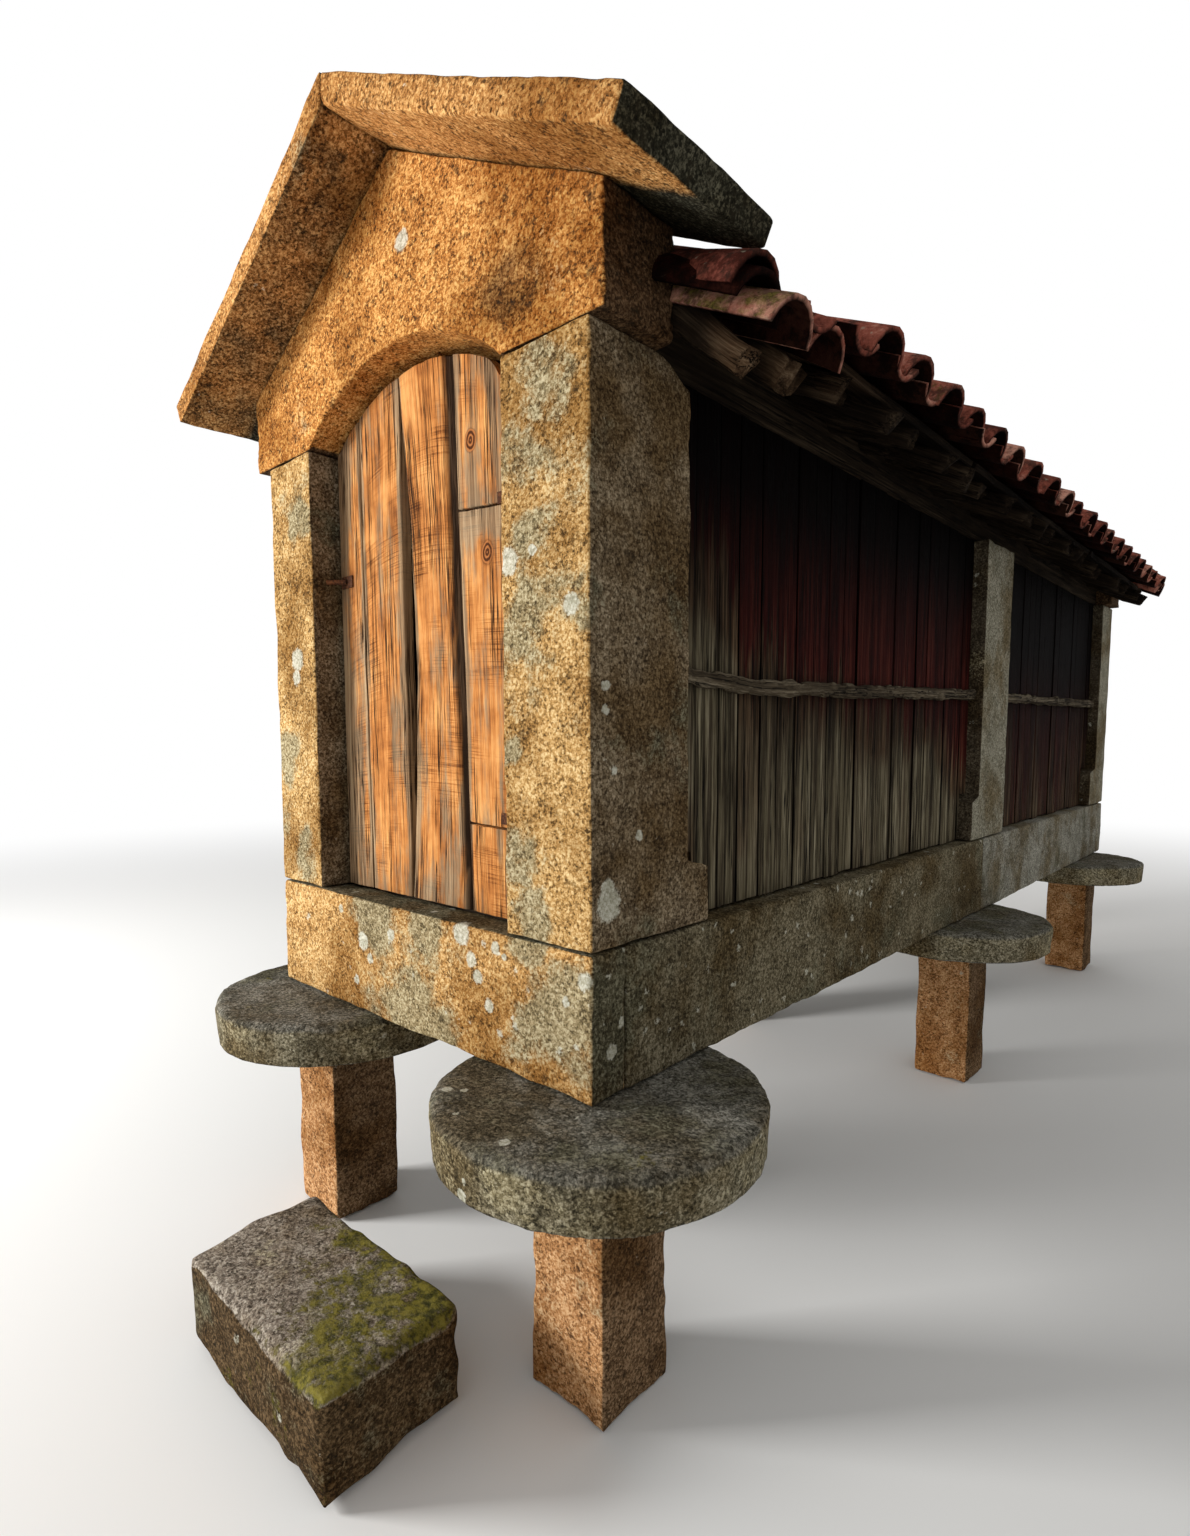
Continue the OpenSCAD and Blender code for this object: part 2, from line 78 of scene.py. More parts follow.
# Pillars. Six squat shafts of yellow granite, squared with a pick and left rough, stand on the ground
# and carry the granary. Their corners are knocked off and the stone is stained by splashed soil.
LATTICE = np.random.default_rng(39).uniform(-1, 1, (64, 64, 64))
SEED_STEP = 7.31
STONE_CELL = 0.10
SWAY_CELL = 0.6
SWAY = 0.003
EDGE_TICK = 0.4
FINE_CHIPS = 0.6
CHIP_SWING = 0.7
CHIP_LIMITS = (0.3, 2)
ROUNDEST = 0.45
NEAR_STEP = 0.015
FAR_STEP = 0.022
PILLAR_EDGE = 0.020
PILLAR_RELIEF = 0.012
PILLAR_PICKS = (1.6, 1.6, 0.7)
LEFT_LIGHT = 0.6


def noise(places, cell, seed=0):
    """Smooth noise from -1 to 1: random values stand on a cubic lattice, and a place takes the mean of
    the eight round it, weighted by the cubic ease 3t^2 - 2t^3 of its distance along each axis."""
    scaled = places / cell + seed * SEED_STEP
    base = np.floor(scaled).astype(int)
    t = scaled - base
    t = t * t * (3 - 2 * t)
    total = np.zeros(len(places))
    for corner in itertools.product((0, 1), repeat=3):
        x, y, z = ((base + corner) % len(LATTICE)).T
        total += np.where(corner, t, 1 - t).prod(axis=1) * LATTICE[x, y, z]
    return total


def fractal(places, cell, seed=0, octaves=3):
    """Noise summed over layers, each with half the cell and half the weight of the one before, scaled
    so that the weights add up to one."""
    weights = 0.5 ** np.arange(octaves)
    layers = [w * noise(places, cell * w, seed + 3 * i) for i, w in enumerate(weights)]
    return sum(layers) / weights.sum()


def sway(places):
    """Moves places by a slow field that all pieces share, one layer of noise for each axis, so that
    no edge is dead straight and neighbours still meet."""
    moves = [noise(places, SWAY_CELL, seed) for seed in (11, 12, 13)]
    return places + SWAY * np.column_stack(moves)


def ease(value, low, high):
    """0 below low, 1 above high, and the cubic ease 3t^2 - 2t^3 between them."""
    t = np.clip((value - low) / (high - low), 0, 1)
    return t * t * (3 - 2 * t)


def ticks(low, high, step, edge, marks=()):
    """Places along one side of a block: even steps no longer than step between the marks, and closer
    ones within the rounded edges at both ends."""
    near = EDGE_TICK * edge
    stops = [low, low + near, low + edge, *marks, high - edge, high - near, high]
    spans = [
        np.linspace(a, b, max(1, math.ceil((b - a) / step)), endpoint=False)
        for a, b in itertools.pairwise(stops)
    ]
    return np.append(np.concatenate(spans), high)


def block_surface(xs, ys, zs):
    """The skin of a block as points and outward quads: one grid of places on each of its six faces,
    made one skin where the grids share a rim."""
    axes = (xs, ys, zs)
    faces = []
    for axis in range(3):
        b, c = (axis + 1) % 3, (axis + 2) % 3
        i, j = np.meshgrid(np.arange(len(axes[b]) - 1), np.arange(len(axes[c]) - 1), indexing="ij")
        for side in (0, len(axes[axis]) - 1):
            turn = [(0, 0), (1, 0), (1, 1), (0, 1)] if side else [(0, 0), (0, 1), (1, 1), (1, 0)]
            quads = np.full((i.size, 4, 3), side)
            for corner, (di, dj) in enumerate(turn):
                quads[:, corner, b] = i.ravel() + di
                quads[:, corner, c] = j.ravel() + dj
            faces.append(quads)
    keys, where = np.unique(np.concatenate(faces).reshape(-1, 3), axis=0, return_inverse=True)
    points = np.column_stack([axis[key] for axis, key in zip(axes, keys.T)])
    return points, where.reshape(-1, 4)


def hewn(low, high, step, edge, relief, seed, cell=STONE_CELL, stretch=(1, 1, 1), marks=((), (), ())):
    """A worked block as points, quads and outward directions. Each point of the block's skin goes to
    the nearest point of a block that is smaller by the edge radius, and comes out again by that
    radius, which rounds the edges. Noise makes the radius wander, as chipped edges do, and sinks the
    faces by up to the relief. Noise is read at places times stretch, so that wood has long waves."""
    low, high = np.array(low, float), np.array(high, float)
    sides = zip(low, high, np.broadcast_to(step, 3), marks)
    points, quads = block_surface(*(ticks(a, b, s, edge, m) for a, b, s, m in sides))
    read = points * stretch
    chips = noise(read, cell, seed) + FINE_CHIPS * noise(read, cell / 3, seed + 1)
    radius = edge * np.clip(1 + CHIP_SWING * chips, *CHIP_LIMITS)[:, None]
    radius = np.minimum(radius, ROUNDEST * (high - low).min())
    inner = np.clip(points, low + radius, high - radius)
    out = points - inner
    out /= np.linalg.norm(out, axis=1, keepdims=True)
    sink = relief * (0.5 + 0.5 * fractal(read, cell, seed + 2))[:, None]
    return inner + out * (radius - sink), quads, out


def joined(parts):
    """Several skins as one: points and layers follow each other, and each face's numbers move on by
    the points before it. A part is its points, its faces and a dict of layers."""
    starts = np.cumsum([0] + [len(part[0]) for part in parts])
    points = np.concatenate([part[0] for part in parts])
    quads = np.concatenate([part[1] + start for part, start in zip(parts, starts)])
    layers = {key: np.concatenate([part[2][key] for part in parts]) for key in parts[0][2]}
    return points, quads, layers


def piece(name, surface, material, nodes, body="building"):
    """Makes a mesh of points and faces, keeps its layers as point attributes, and sets it on its body
    in place of the nodes."""
    points, quads, layers = surface
    mesh = bpy.data.meshes.new(name)
    mesh.vertices.add(len(points))
    mesh.vertices.foreach_set("co", np.ascontiguousarray(points, np.float32).ravel())
    mesh.loops.add(quads.size)
    mesh.loops.foreach_set("vertex_index", np.ascontiguousarray(quads, np.int32).ravel())
    mesh.polygons.add(len(quads))
    mesh.polygons.foreach_set("loop_start", np.arange(0, quads.size, quads.shape[1], dtype=np.int32))
    for key, values in layers.items():
        flat = values.ndim == 1
        data = mesh.attributes.new(key, "FLOAT" if flat else "FLOAT_VECTOR", "POINT").data
        data.foreach_set("value" if flat else "vector", np.ascontiguousarray(values, np.float32).ravel())
    mesh.update(calc_edges=True)
    mesh.shade_smooth()
    mesh.materials.append(material)
    made = placed(name, mesh)
    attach(made, body)
    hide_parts(*nodes)
    return made


def paint(red, green, blue):
    """A colour given as it looks on a screen, from 0 to 255, as the linear colour that shaders take."""
    share = np.array([red, green, blue]) / 255
    linear = np.where(share <= 0.04045, share / 12.92, ((share + 0.055) / 1.055) ** 2.4)
    return (*linear.tolist(), 1.0)


def node(tree, kind, feeds=None, **settings):
    """Adds a shader node: settings are its properties, and feeds gives its sockets values or sources."""
    made = tree.nodes.new("ShaderNode" + kind)
    for key, value in settings.items():
        setattr(made, key, value)
    for key, value in (feeds or {}).items():
        if isinstance(value, bpy.types.NodeSocket):
            tree.links.new(value, made.inputs[key])
        else:
            made.inputs[key].default_value = value
    return made


def calc(tree, operation, first, second=0.0):
    """The result of a sum, product or other operation on two values."""
    return node(tree, "Math", {0: first, 1: second}, operation=operation).outputs[0]


def weigh(tree, *terms):
    """A sum of values, each times its weight."""
    total, *others = [calc(tree, "MULTIPLY", value, weight) for value, weight in terms]
    for other in others:
        total = calc(tree, "ADD", total, other)
    return total


def ramp(tree, value, low, high, out_low=0.0, out_high=1.0):
    """A value eased from one level to another while its source goes from low to high."""
    feeds = {"Value": value, "From Min": low, "From Max": high, "To Min": out_low, "To Max": out_high}
    return node(tree, "MapRange", feeds, interpolation_type="SMOOTHSTEP").outputs[0]


def blend(tree, share, first, second, how="MIX"):
    """Two colours mixed by a share."""
    return node(tree, "Mix", {0: share, 6: first, 7: second}, data_type="RGBA", blend_type=how).outputs[2]


TONE_STOPS = (0.34, 0.5, 0.66)


def tones(tree, value, *colours):
    """Three colours in a row, dark, middle and light, picked by a value that reaches them at the stops."""
    made = node(tree, "ValToRGB", {"Fac": value})
    made.color_ramp.elements.new(TONE_STOPS[1])
    for stop, place, colour in zip(made.color_ramp.elements, TONE_STOPS, colours):
        stop.position = place
        stop.color = paint(*colour)
    return made.outputs[0]


def cloud(tree, place, scale, detail=3.0, roughness=0.5, distortion=0.0):
    """Cloudy noise from 0 to 1 at a place."""
    feeds = {"Vector": place, "Scale": scale, "Detail": detail, "Roughness": roughness}
    return node(tree, "TexNoise", {**feeds, "Distortion": distortion}).outputs[0]


def layer(tree, name, output="Fac"):
    """The value, or with Vector the vector, that a mesh keeps for each point under that name."""
    return node(tree, "Attribute", attribute_name=name).outputs[output]


def effect(name, inputs, outputs):
    """Starts a node group with named sockets, and gives its tree, its input and its output sockets."""
    tree = bpy.data.node_groups.new(name, "ShaderNodeTree")
    for key, kind in inputs.items():
        tree.interface.new_socket(key, in_out="INPUT", socket_type="NodeSocket" + kind)
    for key, kind in outputs.items():
        tree.interface.new_socket(key, in_out="OUTPUT", socket_type="NodeSocket" + kind)
    return tree, tree.nodes.new("NodeGroupInput").outputs, tree.nodes.new("NodeGroupOutput").inputs


def start_material(name):
    """An empty material, its tree, and the object place that its pattern is drawn on."""
    made = bpy.data.materials.new(name)
    made.use_nodes = True
    made.node_tree.nodes.clear()
    return made, made.node_tree, node(made.node_tree, "TexCoord").outputs["Object"]


SHINE = 0.03


def end_material(tree, colour, height, depth, roughness):
    """Joins colour, roughness and bump height to the shader. depth is how far the height stands out."""
    bump = node(tree, "Bump", {"Height": height, "Distance": depth})
    feeds = {"Base Color": colour, "Roughness": roughness, "Normal": bump.outputs[0]}
    shader = node(tree, "BsdfPrincipled", {**feeds, "Specular IOR Level": SHINE})
    node(tree, "OutputMaterial", {"Surface": shader.outputs[0]})


def make_grain():
    """Granite grain. Tone mixes crystals of random tone in two sizes, specks and a slow mottling.
    Height adds the larger crystals, specks and pits."""
    tree, given, out = effect("granite_grain", {"Place": "Vector"}, {"Tone": "Float", "Height": "Float"})
    place = given["Place"]
    cells = [node(tree, "TexVoronoi", {"Vector": place, "Scale": scale}) for scale in (130.0, 260.0)]
    crystals = [node(tree, "SeparateColor", {"Color": cell.outputs["Color"]}).outputs[0] for cell in cells]
    specks = cloud(tree, place, 118.0, 4.0, 0.72)
    pits = cloud(tree, place, 52.0, 6.0, 0.72)
    mottle = cloud(tree, place, 11.0, 4.0, 0.6)
    shares = ((crystals[0], 0.17), (crystals[1], 0.13), (specks, 0.62), (pits, 0.28), (mottle, 0.24))
    tree.links.new(calc(tree, "SUBTRACT", weigh(tree, *shares), 0.22), out["Tone"])
    tree.links.new(weigh(tree, (crystals[0], 0.15), (specks, 0.35), (pits, 0.50)), out["Height"])
    return tree


def make_lichen():
    """Lichen. Colonies grow on scattered centres, each with a radius of its own. The place is first
    warped by noise, which gives them lobed rims, and the crust value frays them."""
    inputs = {"Place": "Vector", "Scale": "Float", "Cover": "Float", "Crust": "Float"}
    tree, given, out = effect("lichen", inputs, {"Mask": "Float"})
    shift = node(tree, "TexNoise", {"Vector": given["Place"], "Scale": 40.0, "Detail": 4.0}).outputs["Color"]
    shift = node(tree, "VectorMath", {0: shift, "Scale": 0.045}, operation="SCALE").outputs[0]
    warped = node(tree, "VectorMath", {0: given["Place"], 1: shift}, operation="ADD").outputs[0]
    centres = node(tree, "TexVoronoi", {"Vector": warped, "Scale": given["Scale"]})
    size = node(tree, "SeparateColor", {"Color": centres.outputs["Color"]}).outputs[0]
    least = calc(tree, "SUBTRACT", 1.0, given["Cover"])
    radius = calc(tree, "MULTIPLY", calc(tree, "SUBTRACT", size, least), 0.7)
    inside = calc(tree, "SUBTRACT", radius, centres.outputs["Distance"])
    mask = weigh(tree, (inside, 1.0), (given["Crust"], 0.45))
    tree.links.new(ramp(tree, mask, 0.20, 0.34), out["Mask"])
    return tree


GRAIN = make_grain()
LICHEN = make_lichen()
PALE_LICHEN = ((150, 146, 124), (184, 181, 162), (212, 210, 196))
CRUST_LIT = ((72, 64, 44), (140, 128, 96), (192, 182, 150))
CRUST_SHADED = ((44, 42, 32), (80, 76, 58), (130, 126, 104))
DARK_LICHEN = paint(44, 38, 28)
MOSS_DARK = paint(50, 52, 20)
MOSS_LIGHT = paint(130, 120, 48)
STAIN = paint(196, 182, 160)


def colonies(tree, place, scale, cover, crust):
    """How much lichen covers a place, from 0 to 1, as the output of the group."""
    feeds = {"Place": place, "Scale": scale, "Cover": cover, "Crust": crust}
    return node(tree, "Group", feeds, node_tree=LICHEN).outputs[0]


def grown_areas(tree, place, areas, lobe_scale, lobe_size):
    """A value that is highest, about 1, at the middle of each area and falls to 0 at its rim and below
    beyond it. Areas are given by centre and radius, and noise pushes their rims in and out."""
    lobes = calc(tree, "SUBTRACT", cloud(tree, place, lobe_scale, 4.0, 0.6), 0.5)
    level = None
    for centre, radius in areas:
        away = node(tree, "VectorMath", {0: place, 1: centre}, operation="DISTANCE").outputs["Value"]
        inside = calc(tree, "SUBTRACT", 1.0, weigh(tree, (away, 1 / radius), (lobes, lobe_size / radius)))
        level = inside if level is None else calc(tree, "MAXIMUM", level, inside)
    return level


def granite(name, sunny, shady, crust=0.4, pale=0.3, soot=0.4, bump=0.006, spots=(), patches=()):
    """Granite with painted sunlight and shade: its sunny row of three tones where the sun layer is 1,
    and its shady row where it is 0. A thin grey-green crust, also lit or shaded, covers the given share
    of it, and the patches. Soot, pale lichen and, where the moss layer says so, moss lie over it."""
    made, tree, place = start_material(name)
    tone, height = node(tree, "Group", {"Place": place}, node_tree=GRAIN).outputs
    border = weigh(tree, (layer(tree, "sun"), 1.0), (cloud(tree, place, 9.0), 0.4), (tone, 0.3))
    sun = ramp(tree, border, 0.65, 1.05)
    colour = blend(tree, sun, tones(tree, tone, *shady), tones(tree, tone, *sunny))
    stain = ramp(tree, cloud(tree, place, 2.6, 6.0, 0.65), 0.42, 0.62)
    colour = blend(tree, stain, colour, blend(tree, 1.0, colour, STAIN, "MULTIPLY"))
    area = weigh(tree, (cloud(tree, place, 4.2, 6.0, 0.66), 1.0), (tone, 0.25))
    if patches:
        near = grown_areas(tree, place, patches, 7.0, 0.20)
        area = calc(tree, "ADD", area, ramp(tree, near, -0.5, 0.6, 0.0, 0.24))
    least = 0.600 + (0.5 - crust) * 0.36
    crusted = ramp(tree, area, least, least + 0.16, 0.0, 0.85)
    crust_colour = blend(tree, sun, tones(tree, tone, *CRUST_SHADED), tones(tree, tone, *CRUST_LIT))
    colour = blend(tree, crusted, colour, crust_colour)
    black = weigh(tree, (cloud(tree, place, 32.0, 6.0, 0.75), 1.0), (tone, -0.3))
    colour = blend(tree, ramp(tree, black, 0.38, 0.50, 0.0, soot), colour, DARK_LICHEN)
    lichen = weigh(tree, (colonies(tree, place, 17.0, pale, tone), 0.7))
    if spots:
        near = weigh(tree, (grown_areas(tree, place, spots, 38.0, 0.030), 1.0), (tone, 0.7))
        lichen = calc(tree, "MAXIMUM", lichen, ramp(tree, near, 0.30, 0.62, 0.0, 0.85))
    colour = blend(tree, lichen, colour, tones(tree, tone, *PALE_LICHEN))
    tufts = cloud(tree, place, 34.0, 6.0, 0.75)
    growth = weigh(tree, (layer(tree, "moss"), 1.0), (cloud(tree, place, 8.0, 5.0, 0.7), 1.2), (tufts, 0.6))
    moss = ramp(tree, growth, 1.18, 1.42, 0.0, 0.9)
    green = blend(tree, ramp(tree, tufts, 0.38, 0.62), MOSS_DARK, MOSS_LIGHT)
    colour = blend(tree, moss, colour, green)
    height = weigh(tree, (height, 1.0), (lichen, 0.10), (calc(tree, "MULTIPLY", moss, tufts), 0.8))
    end_material(tree, colour, height, bump, 0.92)
    return made


def stone(name, surface, material, nodes, sun=None, moss=0.0):
    """Sets a hewn stone in place. Its sun layer, the share of painted sunlight against painted shade, is
    how far its faces look forwards or back, unless it is given, and moss is a number or one for each point."""
    points, quads, out = surface
    layers = {
        "sun": np.abs(out[:, 1]) if sun is None else sun,
        "moss": np.zeros(len(points)) + moss,
    }
    return piece(name, (sway(points), quads, layers), material, nodes)


pillar_stone = granite(
    "pillar_stone",
    sunny=((92, 62, 40), (184, 132, 84), (224, 184, 138)),
    shady=((52, 40, 28), (104, 80, 56), (156, 128, 98)),
    crust=0.15,
    pale=0.2,
)
ROWS = ("front", "middle", "rear")
SIDES = ("right", "left")
for number, (row, side) in enumerate(itertools.product(ROWS, SIDES)):
    low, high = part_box(f"pillar_{row}_{side}")
    step = NEAR_STEP if row == "front" else FAR_STEP
    surface = hewn(low, high, step, PILLAR_EDGE, PILLAR_RELIEF, number, stretch=PILLAR_PICKS)
    out = surface[2]
    # Faces that look forwards or to the left are painted sunlit, the others are in painted shade.
    sun = np.clip(-out[:, 1] - LEFT_LIGHT * out[:, 0], 0, 1)
    name = f"{row}_{side}_pillar_stone"
    stone(name, surface, pillar_stone, [f"pillar_{row}_{side}"], sun)

# Cap discs. A round slab of grey granite lies on each pillar and stands out past it on all sides, so
# that rats can't climb up. Its top is flat, its rim rounded and its side picked rough and drawn in.
DISC_ROUND = 0.036
DISC_RELIEF = 0.013
DISC_TAPER = 0.022
DISC_WANDER = 0.4
DISC_UNDER = 0.35
DISC_CELL = 0.05
DISC_LUMPS = 0.012
DISC_MOSS = 0.12


def hewn_disc(low, high, step, seed):
    """A round slab. The skin of a square block is drawn into a circle: a point moves along its line
    from the axis until its distance is the larger of its two sides. The rim is then rounded in the
    plane of radius and height, and noise sinks the faces, in tall narrow marks on the side."""
    middle = (np.array(low) + np.array(high)) / 2
    radius, height = (high.x - low.x) / 2, high.z - low.z
    side = ticks(-radius, radius, step, DISC_ROUND)
    points, quads = block_surface(side, side, ticks(0, height, step, DISC_ROUND))
    flat = np.linalg.norm(points[:, :2], axis=1, keepdims=True)
    reach = np.abs(points[:, :2]).max(axis=1, keepdims=True)
    spoke = np.divide(points[:, :2], flat, out=np.zeros_like(points[:, :2]), where=flat > 0)
    profile = np.column_stack([reach, points[:, 2]])
    wander = 1 + DISC_WANDER * noise(points, 0.16, seed)[:, None]
    rim = np.tile(DISC_ROUND * wander, 2)
    rim[points[:, 2] < height / 2] *= DISC_UNDER
    inner = np.clip(profile, rim * [0, 1], [radius, height] - rim)
    out = profile - inner
    out /= np.linalg.norm(out, axis=1, keepdims=True)
    read = points * [1, 1, 0.5]
    sink = DISC_RELIEF * (0.5 + 0.5 * fractal(read, DISC_CELL, seed)) * (1 - 0.5 * np.abs(out[:, 1]))
    profile = inner + out * (rim - sink[:, None])
    slope = DISC_TAPER * (1 - profile[:, 1:] / height)
    lumps = 1 + DISC_LUMPS * noise(np.column_stack([spoke, profile[:, 1] * 0]), 0.5, seed + 4)[:, None]
    places = np.column_stack([spoke * profile[:, :1] * (1 - slope) * lumps, profile[:, 1]])
    return places + [middle[0], middle[1], low.z], quads, np.column_stack([spoke * out[:, :1], out[:, 1]])


DISC_SPOTS = [
    ((0.385, -2.965, 0.718), 0.026), ((0.688, -3.085, 0.705), 0.020), ((0.702, -3.098, 0.742), 0.012),
    ((0.435, -2.930, 0.828), 0.018), ((0.470, -2.905, 0.828), 0.012), ((0.930, -2.960, 0.790), 0.016),
    ((0.980, -2.900, 0.780), 0.014), ((0.755, -3.010, 0.828), 0.014), ((0.560, -3.000, 0.828), 0.010),
]
disc_stone = granite(
    "disc_stone",
    sunny=((54, 50, 39), (116, 108, 86), (176, 168, 144)),
    shady=((54, 53, 46), (106, 103, 93), (166, 162, 150)),
    crust=0.45,
    pale=0.25,
    bump=0.009,
    spots=DISC_SPOTS,
)
for number, (row, side) in enumerate(itertools.product(ROWS, SIDES)):
    low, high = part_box(f"disc_{row}_{side}")
    step = NEAR_STEP if row == "front" else FAR_STEP
    surface = hewn_disc(low, high, step, number + 20)
    upward = surface[2][:, 2]
    # The disc's side is painted sunlit and its top is in painted shade.
    sun, moss = 1 - np.abs(upward), DISC_MOSS * upward
    name = f"{row}_{side}_cap_disc"
    stone(name, surface, disc_stone, [f"disc_{row}_{side}"], sun, moss)

# Step. A single rough granite block lies before the door, a stride away from it. It is worn round and
# leans out of square, and moss grows on its right half and in its hollows.
STEP_EDGE = 0.042
STEP_RELIEF = 0.020
STEP_CELL = 0.17
STEP_LEAN = 0.020
STEP_MOSS = 0.50
STEP_MOSS_ACROSS = (0.2, 1.1)
STEP_MOSS_TILT = (-0.2, 0.6)
STEP_DAMP = 0.16

step_low, step_high = (np.array(corner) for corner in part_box("step_stone"))
block_low = step_low + [STEP_LEAN, 0, 0]
points, quads, out = hewn(block_low, step_high, NEAR_STEP, STEP_EDGE, STEP_RELIEF, 31, STEP_CELL)
deep = (points[:, 1] - step_low[1]) / (step_high[1] - step_low[1])
points[:, 0] -= STEP_LEAN * deep
across = (points[:, 0] - step_low[0]) / (step_high[0] - step_low[0])
mossy = ease(across + 0.5 * deep, *STEP_MOSS_ACROSS) * ease(out[:, 2], *STEP_MOSS_TILT)
damp = STEP_MOSS * mossy + STEP_DAMP * np.clip(-out[:, 1], 0, 1)
step_stone = granite(
    "step_granite",
    sunny=((66, 58, 50), (140, 128, 114), (198, 188, 172)),
    shady=((36, 28, 18), (76, 60, 40), (124, 102, 74)),
    crust=0.3,
    pale=0.3,
    bump=0.010,
)
# The block's top is painted sunlit and its sides are in painted shade.
sun = ease(out[:, 2], 0, 0.5)
stone("step_block", (points, quads, out), step_stone, ["step_stone"], sun, damp)

# Sills. Long granite beams lie flat on the discs: one across each end and two along each side, butted
# with tight joints. The front one is lit golden and spotted with lichen, the rear ones are grey.
SILL_EDGE = 0.012
SILL_RELIEF = 0.007
FRONT_FACE = -2.762
RIGHT_FACE = 0.794


def on_faces(front, right=()):
    """Centres and radii of growths. One on the front face is given by its place across, its height and
    its radius, and one on the right face by its place along the side, its height and its radius."""
    spots = [((x, FRONT_FACE, z), radius) for x, z, radius in front]
    return spots + [((RIGHT_FACE, y, z), radius) for y, z, radius in right]


SILL_SPOTS = on_faces([
    (0.401, 1.001, 0.020), (0.353, 1.075, 0.024), (0.324, 1.116, 0.026), (0.284, 1.188, 0.040),
    (0.434, 1.169, 0.020), (0.769, 1.144, 0.026), (-0.242, 1.068, 0.034), (-0.292, 0.931, 0.018),
    (-0.382, 1.163, 0.016), (-0.078, 1.119, 0.022), (-0.205, 1.020, 0.020), (0.470, 1.150, 0.012),
    (0.700, 1.080, 0.014),
], [(-2.686, 0.952, 0.022), (-2.643, 1.018, 0.016)])
SILL_PATCHES = on_faces([
    (-0.168, 1.190, 0.130), (0.000, 0.893, 0.120), (0.140, 0.840, 0.090), (0.710, 1.010, 0.190),
    (0.560, 1.200, 0.070), (0.100, 1.200, 0.080),
])
sill_stone = granite(
    "sill_stone",
    sunny=((88, 62, 34), (190, 142, 82), (234, 204, 148)),
    shady=((50, 45, 34), (98, 89, 68), (150, 140, 116)),
    crust=0.30,
    pale=0.36,
    spots=SILL_SPOTS,
    patches=SILL_PATCHES,
)
grey_stone = granite(
    "grey_stone",
    sunny=((92, 84, 70), (150, 140, 120), (200, 192, 174)),
    shady=((82, 80, 70), (134, 131, 118), (184, 181, 168)),
    crust=0.3,
)
ENDS = ("front", "rear")
SIDE_SILLS = [f"side_sill_{side}_{end}" for side in SIDES for end in ENDS]
SILLS = ("front_sill", "rear_sill", *SIDE_SILLS)
for number, name in enumerate(SILLS):
    low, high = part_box(name)
    yellow = name == "front_sill" or name.endswith("_front")
    step = NEAR_STEP if name in ("front_sill", "side_sill_right_front") else FAR_STEP
    surface = hewn(low, high, step, SILL_EDGE, SILL_RELIEF, number + 40)
    # Only the faces of the front and rear sills that look forwards or back are painted sunlit; all else is
    # in painted shade.
    crosswise = name in ("front_sill", "rear_sill")
    sun = np.abs(surface[2][:, 1]) * crosswise
    stone(f"{name}_beam", surface, sill_stone if yellow else grey_stone, [name], sun)

# Posts. Six upright granite stones stand on the sills and carry the roof. Each grows out at its bottom
# into a foot along the sill, cut from the same block, with a sloped shoulder. The front pair are the
# jambs of the door.
POST_EDGE = 0.011
POST_RELIEF = 0.007
SHOULDER = 0.030
FOOT_HEIGHTS = {"front": 0.190, "middle": 0.225, "rear": 0.277}
HEAD_CUT = 0.050
HEAD_SEAT = 0.270
HEAD_TALL = 0.3
POST_SPOTS = on_faces([
    (0.505, 2.196, 0.040), (0.596, 2.211, 0.016), (0.729, 2.066, 0.030), (-0.629, 2.020, 0.045),
    (-0.640, 1.960, 0.030),
], [
    (-2.693, 1.331, 0.048), (-2.700, 1.370, 0.030), (-2.703, 1.872, 0.017), (-2.707, 1.812, 0.014),
    (-2.674, 1.665, 0.013), (-2.576, 1.495, 0.017), (-2.607, 1.141, 0.016),
])
POST_PATCHES = on_faces([
    (0.612, 2.048, 0.115), (0.729, 2.075, 0.075), (0.530, 2.430, 0.120), (0.585, 2.276, 0.080),
    (0.648, 2.600, 0.110), (0.540, 1.430, 0.090), (0.602, 1.286, 0.085), (0.500, 1.700, 0.050),
    (-0.560, 2.480, 0.090), (-0.740, 1.700, 0.110), (-0.600, 1.320, 0.100),
])
jamb_stone = granite(
    "jamb_stone",
    sunny=((82, 60, 34), (184, 142, 84), (226, 198, 146)),
    shady=((54, 44, 33), (110, 94, 72), (166, 150, 124)),
    crust=0.22,
    pale=0.16,
    spots=POST_SPOTS,
    patches=POST_PATCHES,
)
# For the middle and rear posts the sunny row is dark: it is painted shade under the eaves on their faces
# that look forwards and back, and the shady row is the lit grey of their sides.
side_stone = granite(
    "side_stone",
    sunny=((40, 34, 26), (72, 63, 50), (112, 102, 84)),
    shady=((84, 80, 66), (136, 131, 112), (184, 179, 162)),
    crust=0.2,
)
floor_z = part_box("front_sill")[1].z


def drawn_foot(points, low, high, upright, foot_top):
    """Draws a block into a post with a foot. The block is as deep as the foot. A point's distance from
    the plumb face is scaled so that the depth falls to the upright's over the shoulder, and stays.
    upright runs from the plumb face to the post's other side, and is below 0 for a foot at the front."""
    plumb = low.y if upright > 0 else high.y
    full = high.y - low.y
    shoulder = ease(points[:, 2], floor_z + foot_top - SHOULDER, floor_z + foot_top)
    share = 1 - shoulder * (1 - abs(upright) / full)
    points[:, 1] = plumb + (points[:, 1] - plumb) * share
    return points


